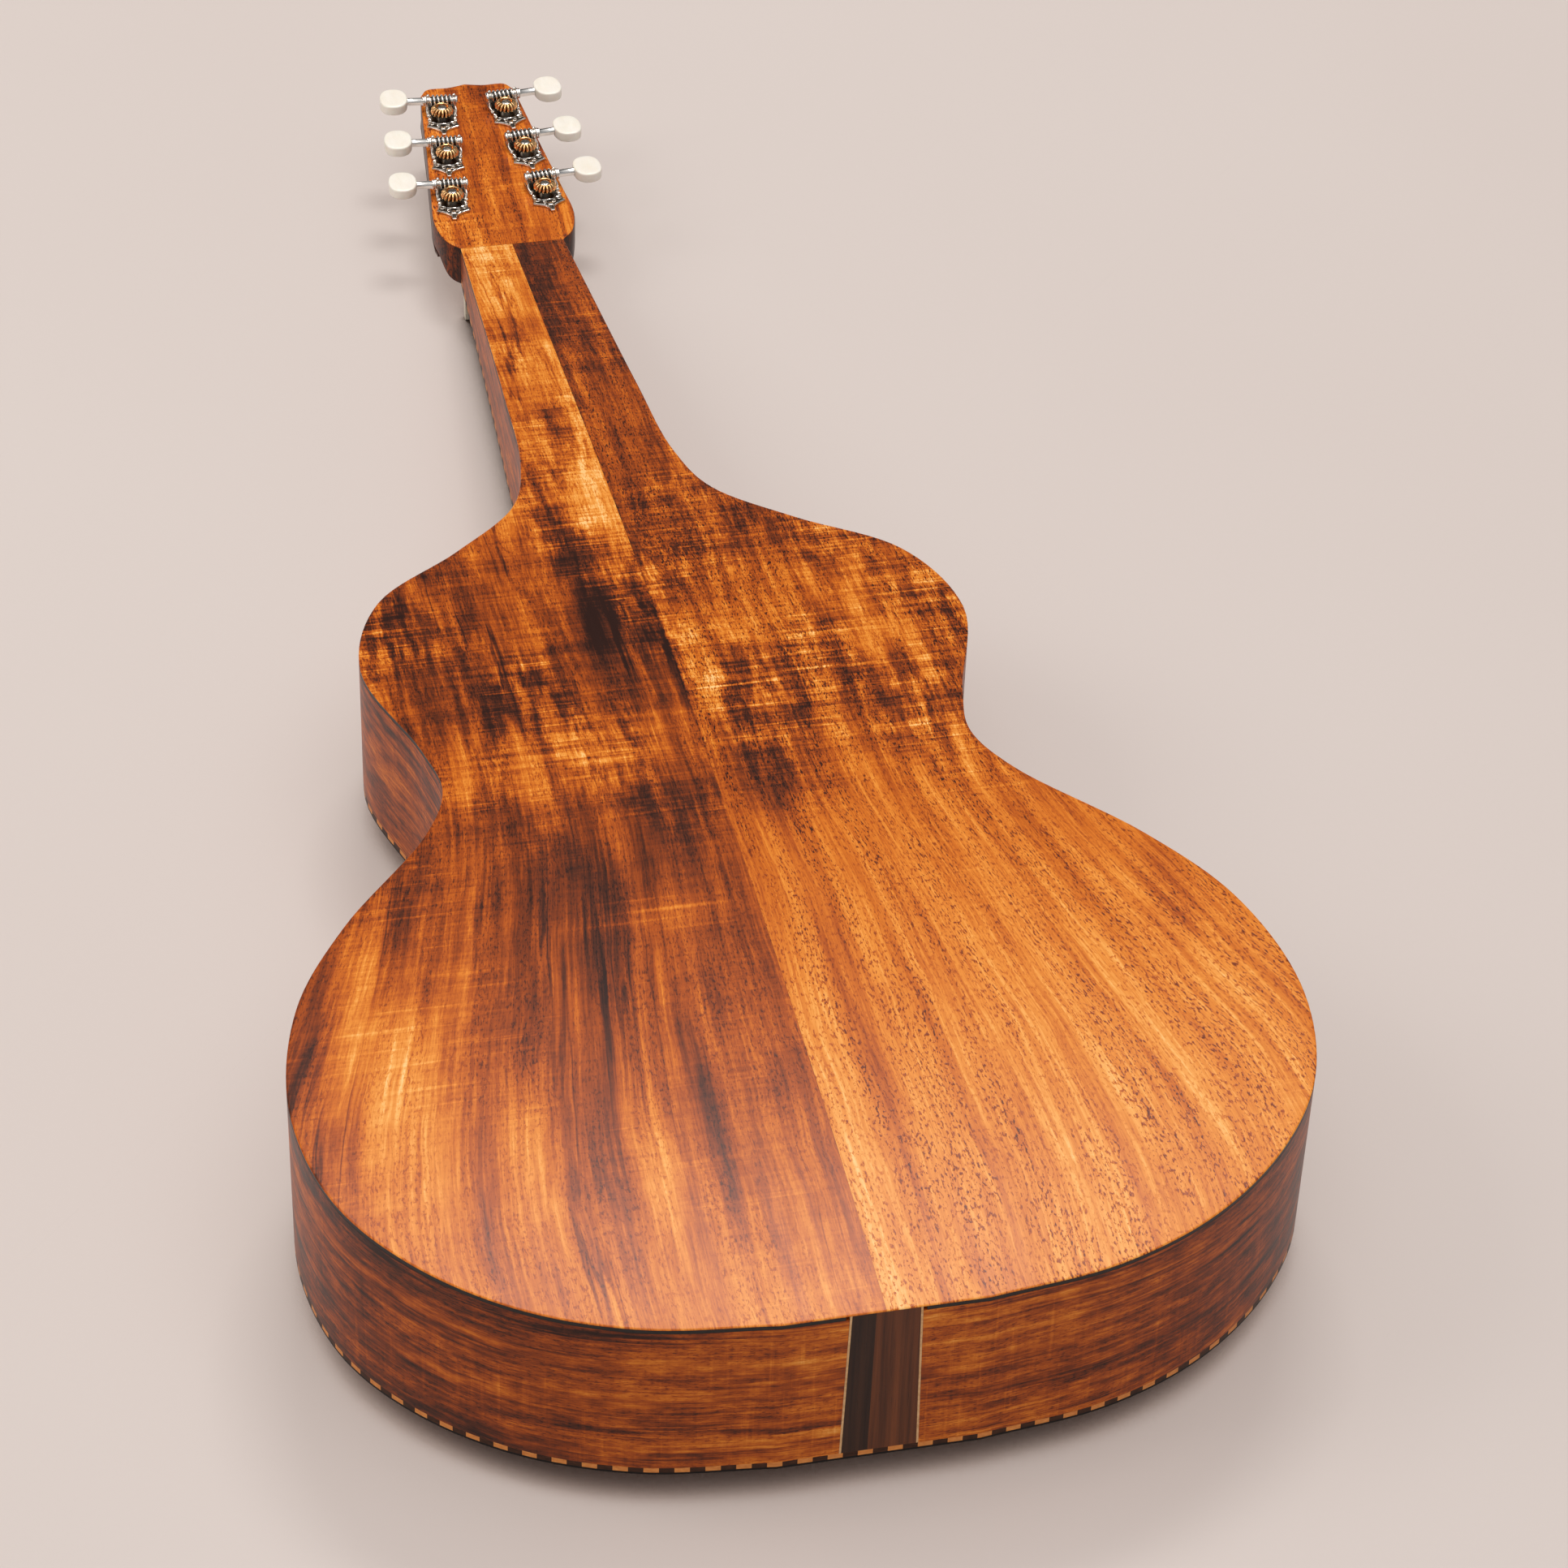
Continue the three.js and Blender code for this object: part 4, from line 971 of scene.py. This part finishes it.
def curl(centre, start_radius, end_radius, start, turns):
    """A flat scroll that winds in on itself and rises to its middle."""
    route = []
    steps = 22
    for k in range(steps + 1):
        t = k / steps
        radius = start_radius + (end_radius - start_radius) * t
        dx, dy = round_point(radius, math.radians(start) + 2 * math.pi * turns * t)
        route.append(Vector((centre[0] + dx, centre[1] + dy, 1.35 + 0.5 * t)))
    return route


def scrolls():
    """The raised ornament of a plate, for the right half: routes with their thickness."""
    return [
        (curl((5.2, -6.7), 1.75, 0.4, 200, -1.25), 0.30),
        (curl((2.4, -8.9), 1.35, 0.35, 60, 1.2), 0.28),
        (curl((6.2, -2.9), 1.3, 0.35, 250, 1.15), 0.26),
        (curl((6.4, 1.0), 1.25, 0.35, -70, 1.1), 0.26),
        (centripetal([(7.2, 5.6, 3.6), (7.5, 3.6, 2.6), (7.0, 1.6, 1.9), (6.6, -0.6, 1.4)], 5), 0.34),
        (centripetal([(3.1, -6.3, 1.4), (1.2, -7.1, 1.7), (0, -7.2, 1.8)], 4), 0.28),
        (centripetal([(5.3, -9.2, 1.35), (3.6, -10.4, 1.5), (2.2, -11.6, 1.4)], 4), 0.24),
    ]


def scrollwork():
    """A plate's raised rim and ornament, the same on its left and right halves."""
    rim = [Vector((p.x, p.y, PLATE_THICKNESS)) for p in plate_line(0.965, 0.975)]
    relief = [tube(rim, RIM_RADIUS, 8)]
    for route, radius in scrolls():
        mirrored = [Vector((-p.x, p.y, p.z)) for p in route]
        relief += [tube(route, radius, 8), tube(mirrored, radius, 8)]
    return joined(relief)


def lug_shape(way):
    """A finger that holds the worm: an upright with a round top, a boss and a small finial."""
    outline = [Vector((WORM_Y - LUG_HALF, 1.0)), Vector((WORM_Y - LUG_HALF + 0.5, 3.2))]
    for k in range(13):
        angle = math.pi * (1 - k / 12)
        outline.append(Vector((WORM_Y + 2.2 * math.cos(angle), 5.9 + 2.3 * math.sin(angle))))
    outline += [Vector((WORM_Y + LUG_HALF - 0.5, 3.2)), Vector((WORM_Y + LUG_HALF, 1.0))]
    turn = Matrix(((0, 0, 1, 0), (1, 0, 0, 0), (0, 1, 0, 0), (0, 0, 0, 1)))
    x0, x1 = sorted((way * LUG_INNER, way * LUG_OUTER))
    plate = moved(slab(outline[::-1], x0, x1, 0.25), turn)
    ball = turned([(0, -0.95), (0.55, -0.8), (0.85, -0.3), (0.85, 0.25), (0.5, 0.75), (0, 0.9)], 14)
    finial = moved(ball, Matrix.Translation((way * (LUG_INNER + 0.8), WORM_Y, LUG_TOP + 0.35)))
    return [plate, finial]


def slotted_head(radius, low, top, slot_angle):
    """A domed screw head with a slot, made of two D-shaped halves on a disc."""
    half_slot, depth = 0.24, 0.45
    base = turned([(0, low), (radius, low), (radius, top - depth), (0, top - depth)], 28)
    dome = [(1, -depth - 0.02), (1, -0.28), (0.93, -0.12), (0.8, -0.02), (0.5, 0.05)]
    halves = []
    count = 13
    turn = Matrix.Rotation(slot_angle, 4, "Z")
    for way in (-1, 1):
        verts = []
        for shrink, rise in dome:
            reach = radius * shrink
            lead = math.acos(min(half_slot / reach, 1))
            for k in range(count):
                angle = -lead + 2 * lead * k / (count - 1)
                x, y = round_point(reach, angle)
                verts.append((way * x, y, top + rise))
        halves.append(moved((verts, tube_faces(len(dome), count)), turn))
    return [base, *halves]


def gear_shape():
    """A fluted bronze wheel: 16 petals that flare from a rim round the sunk screw."""
    levels = [
        (1.8, GEAR_LOW, 0), (4.4, GEAR_LOW, 0.4), (5.2, GEAR_LOW + 0.12, 0.9), (5.6, GEAR_LOW + 0.5, 1),
        (5.75, GEAR_LOW + 1.2, 1), (5.7, GEAR_LOW + 2.0, 1), (5.35, GEAR_LOW + 2.8, 1),
        (4.8, GEAR_LOW + 3.4, 0.9), (4.2, GEAR_LOW + 3.85, 0.7), (3.75, GEAR_LOW + 4.1, 0.25),
        (3.5, GEAR_HIGH, 0), (3.2, GEAR_HIGH, 0), (3.0, GEAR_HIGH - 0.15, 0), (2.95, 6.15, 0),
        (1.8, 6.15, 0),
    ]
    middle = (GEAR_LOW + GEAR_HIGH) / 2
    lead = WORM_CREST - WORM_ENGAGEMENT / 2
    lean = WORM_PITCH / (2 * math.pi * lead * GEAR_PITCH_RADIUS)
    sides = GEAR_TEETH * 10
    verts, crest = [], []
    for radius, z, depth in levels:
        for k in range(sides):
            petal = (0.5 + 0.5 * math.cos(2 * math.pi * k / 10)) ** 0.7
            size = radius * (1 - 0.24 * depth * (1 - petal))
            angle = math.pi / 2 + 2 * math.pi * k / sides + lean * (z - middle)
            verts.append((*round_point(size, angle), z))
            crest.append((1 - depth * (1 - petal), 0, 0))
    return verts, tube_faces(len(levels), sides, closed=True), crest


def worm_shape(side):
    """The worm with its journals, collars and stem, as one turned surface along X."""
    stations = [(-8.6, 0.0, 0), (-8.55, 1.5, 0), (-8.2, 2.3, 0), (-7.75, 2.6, 0), (-7.42, 2.55, 0),
                (-7.41, 1.88, 0), (-5.8, 1.88, 0), (-5.79, 2.25, 0)]
    steps = 86
    for k in range(steps + 1):
        x = -5.5 + 11 * k / steps
        stations.append((x, 2.2, min(1.0, (5.5 - abs(x)) / 0.5)))
    stations += [(5.79, 2.25, 0), (5.8, 1.88, 0), (7.41, 1.88, 0), (7.42, 2.3, 0), (7.6, 2.8, 0),
                 (8.2, 2.8, 0), (8.4, 2.3, 0), (8.6, 2.2, 0), (8.75, 2.6, 0), (9.2, 2.6, 0),
                 (9.4, 2.1, 0), (9.6, 1.95, 0), (SHAFT_END - 0.5, 1.95, 0), (SHAFT_END, 1.95, 0),
                 (SHAFT_END + 0.01, 0, 0)]
    sides = 36
    verts, crest = [], []
    for x, radius, thread in stations:
        for k in range(sides):
            angle = 2 * math.pi * k / sides
            # the same right-hand helix on both sides of the head
            phase = (side * x / WORM_PITCH - angle / (2 * math.pi)) % 1
            away = min(phase, 1 - phase)
            height = max(0.0, 1 - away / 0.40)
            size = radius + thread * (WORM_CREST - 0.08 - radius) * math.sin(height * math.pi / 2)
            verts.append((side * x, *round_point(size, angle)))
            crest.append((height if thread else 1, 0, 0))
    shape = moved((verts, tube_faces(len(stations), sides)), Matrix.Translation((0, WORM_Y, WORM_Z)))
    return *shape, crest


def button_shape(side):
    """An oval button, blunt at its outer end, with soft edges and a slightly domed face."""
    count = 56
    rim = []
    for k in range(count):
        angle = 2 * math.pi * k / count
        c, s = math.cos(angle), math.sin(angle)
        power = 2 / 2.35
        x = BUTTON_ALONG / 2 * math.copysign(abs(c) ** power, c)
        y = BUTTON_ACROSS / 2 * math.copysign(abs(s) ** power, s)
        y *= 0.98 + 0.02 * c
        rim.append(Vector((x, y)))
    half = BUTTON_THICKNESS / 2
    edge = [(0.30, half + 0.02), (0.65, half - 0.01), (0.88, half - 0.05), (0.945, half - 0.14),
            (0.975, half - 0.32), (0.993, half - 0.6), (1.0, half - 1.0)]
    levels = [(share, -z) for share, z in edge] + [(share, z) for share, z in reversed(edge)]
    centre = SHAFT_END + 0.1 + BUTTON_ALONG / 2
    verts = [
        (side * (centre + p.x * share), WORM_Y + p.y * share, WORM_Z + z)
        for share, z in levels for p in rim
    ]
    return verts, tube_faces(len(levels), count)


def bushing():
    """A ring with a rounded flange, pressed into the face round a post."""
    face = -HEAD_THICKNESS - VENEER - 0.3
    return hoop([
        (POST_HOLE, face), (5.6, face), (5.6, face - 0.4), (5.1, face - 0.9), (4.3, face - 1.2),
        (3.7, face - 1.2), (POST_HOLE, face - 0.9),
    ])


def winding(diameter):
    """The string's last turns, in the waist of its post."""
    rise = diameter + 0.04
    turns = min(MOST_TURNS, WAIST_ROOM / rise)
    steps = 110
    centre = POST_WAIST + 0.4 * diameter
    route = []
    for k in range(steps + 1):
        angle = 2 * math.pi * turns * k / steps
        z = WAIST_MIDDLE + turns * rise * (k / steps - 0.5)
        route.append(Vector((*round_point(centre, angle), z)))
    return tube(route, 0.42 * diameter, 6)


def post_shape(slot_angle):
    """A post with its waist for the string, and the screw that holds the gear on its top."""
    post = turned([(0, -29), (2.5, -29), (3, -28.5), (3, -25), (POST_WAIST, -24), (POST_WAIST, -20),
                   (3, -19), (3, 3.3), (1.5, 3.35), (1.5, 6.35), (0, 6.35)], 28)
    return joined([post, *slotted_head(2.3, SCREW_LOW, SCREW_TOP, slot_angle)])


def tuner(side, label, number):
    """One machine head. Its plate and bushing stay, its key turns, and its capstan follows."""
    key = f"{label}_tuner_{number}"
    diameter = STRING_DIAMETERS[number - 1 if side < 0 else 6 - number]
    wire = ("steel", "plain_steel") if diameter < WOUND_FROM else ("wound", "wound_bronze")

    def piece(name, shape, look, slot, node=None, **more):
        verts, faces, *grain = shape
        make(f"{key}_{name}", verts, faces, MAT[look], matrix=tuner_matrix(side, number), slot=slot,
             stands_for=[f"{key}_{node}"] if node else (), grain=grain[0] if grain else None, **more)

    base = joined([slab(PLATE_LOOP, 0.01, PLATE_THICKNESS, 0.22), *lug_shape(-1), *lug_shape(1)])
    # a near-black sheet inside the plate's rim, under the scrollwork
    ground = slab(plate_line(0.86, 0.90), 1.0, PLATE_THICKNESS + 0.03, 0.02)
    screw = joined(slotted_head(1.5, 1.1, 2.1, 0.5 + number))
    piece("bushing", bushing(), "nickel", "nickel")
    piece("base", base, "nickel", "nickel", "plate")
    piece("ground", ground, "dark_ground", "nickel")
    piece("scrollwork", scrollwork(), "nickel", "nickel")
    piece("plate_screw", moved(screw, Matrix.Translation((0, PLATE_SCREW_Y, 0))), "nickel", "nickel")

    turning = f"{key}_capstan"
    piece("fluted_gear", gear_shape(), "bronze", "bronze", "gear", body=turning, sharp=50)
    piece("string_post", post_shape(0.9 * number + side), "nickel", "nickel", "post", body=turning)
    piece("winding", winding(diameter), *wire, body=turning)
    turning = f"{key}_key"
    piece("worm_shaft", worm_shape(side), "thread", "nickel", "worm", body=turning, sharp=60)
    piece("oval_button", button_shape(side), "cream", "cream", "button", body=turning, sharp=70)


for label, side in SIDES:
    for number in range(1, TUNER_COUNT + 1):
        tuner(side, label, number)

# ---------------- floor, lights, camera

FLOOR_HALF = 15.0  # in metres, as all that follows is

work = bmesh.new()
bmesh.ops.create_grid(work, x_segments=1, y_segments=1, size=FLOOR_HALF)
floor_mesh = bpy.data.meshes.new("floor")
work.to_mesh(floor_mesh)
work.free()
floor_mesh.materials.append(floor_paint())
floor = bpy.data.objects.new("floor", floor_mesh)
bpy.context.scene.collection.objects.link(floor)


def soft_light(name, place, target, size, power, colour):
    data = bpy.data.lights.new(name, "AREA")
    data.shape = "RECTANGLE"
    data.size, data.size_y = size
    data.energy = power
    data.color = colour
    lamp = bpy.data.objects.new(name, data)
    lamp.location = place
    lamp.rotation_euler = (Vector(target) - Vector(place)).to_track_quat("-Z", "Y").to_euler()
    bpy.context.scene.collection.objects.link(lamp)


soft_light("left_window", (-2.4, 0.2, 2.0), (0, 0, 0), (1.6, 1.6), 29, (1.0, 0.97, 0.93))
soft_light("high_window", (0.46, 1.3, 2.6), (-0.05, -0.4, 0), (1.0, 0.5), 29, (1.0, 0.97, 0.94))
soft_light("overhead", (0.2, -0.8, 2.9), (0, 0, 0), (2.4, 2.4), 21, (1.0, 0.98, 0.96))


def room():
    """Light from above and from behind the camera, and a dim far wall that the back mirrors."""
    made = bpy.data.worlds.new("room")
    made.use_nodes = True
    nodes = Nodes(made.node_tree)
    split = nodes.split(nodes.node("TexCoord").outputs["Generated"])

    def cool_grey(value, stops):
        return nodes.ramp(value, [(p, (grey * 0.97, grey * 0.98, grey)) for p, grey in stops])

    rise = cool_grey(split[2], [(0, 0.12), (0.2, 0.20), (0.45, 0.07), (0.62, 0.08),
                                        (0.80, 0.72), (1, 0.92)])
    near = cool_grey(nodes.math("MULTIPLY_ADD", split[1], -0.5, 0.5),
                     [(0.5, 0), (0.85, 0.42), (1, 0.42)])
    high = cool_grey(split[2], [(0.04, 0), (0.3, 1)])
    behind_camera = nodes.blend(1.0, near, high, "MULTIPLY")
    back = nodes.tree.nodes["Background"]
    nodes.put(back.inputs["Color"], nodes.blend(1.0, rise, behind_camera, "ADD"))
    back.inputs["Strength"].default_value = 0.92
    return made


scene = bpy.context.scene
scene.world = room()
scene.view_settings.view_transform = "Standard"

CAMERA_PLACE = Vector((-311, -1563.5, 1258)) * MM
CAMERA_DOWN, CAMERA_YAW, CAMERA_ROLL = (math.radians(a) for a in (39.22, 13.66, 2.16))
ahead = Vector((
    math.sin(CAMERA_YAW) * math.cos(CAMERA_DOWN), math.cos(CAMERA_YAW) * math.cos(CAMERA_DOWN),
    -math.sin(CAMERA_DOWN),
))
right = ahead.cross(Vector((0, 0, 1))).normalized()
upward = right.cross(ahead)
tilted_right = math.cos(CAMERA_ROLL) * right + math.sin(CAMERA_ROLL) * upward
tilted_up = math.cos(CAMERA_ROLL) * upward - math.sin(CAMERA_ROLL) * right
lens = bpy.data.cameras.new("camera")
lens.lens, lens.sensor_width, lens.clip_end = 105.35, 36, 100
camera = bpy.data.objects.new("camera", lens)
camera.matrix_world = (
    Matrix.Translation(CAMERA_PLACE) @ Matrix((tilted_right, tilted_up, -ahead)).transposed().to_4x4()
)
scene.collection.objects.link(camera)
scene.camera = camera
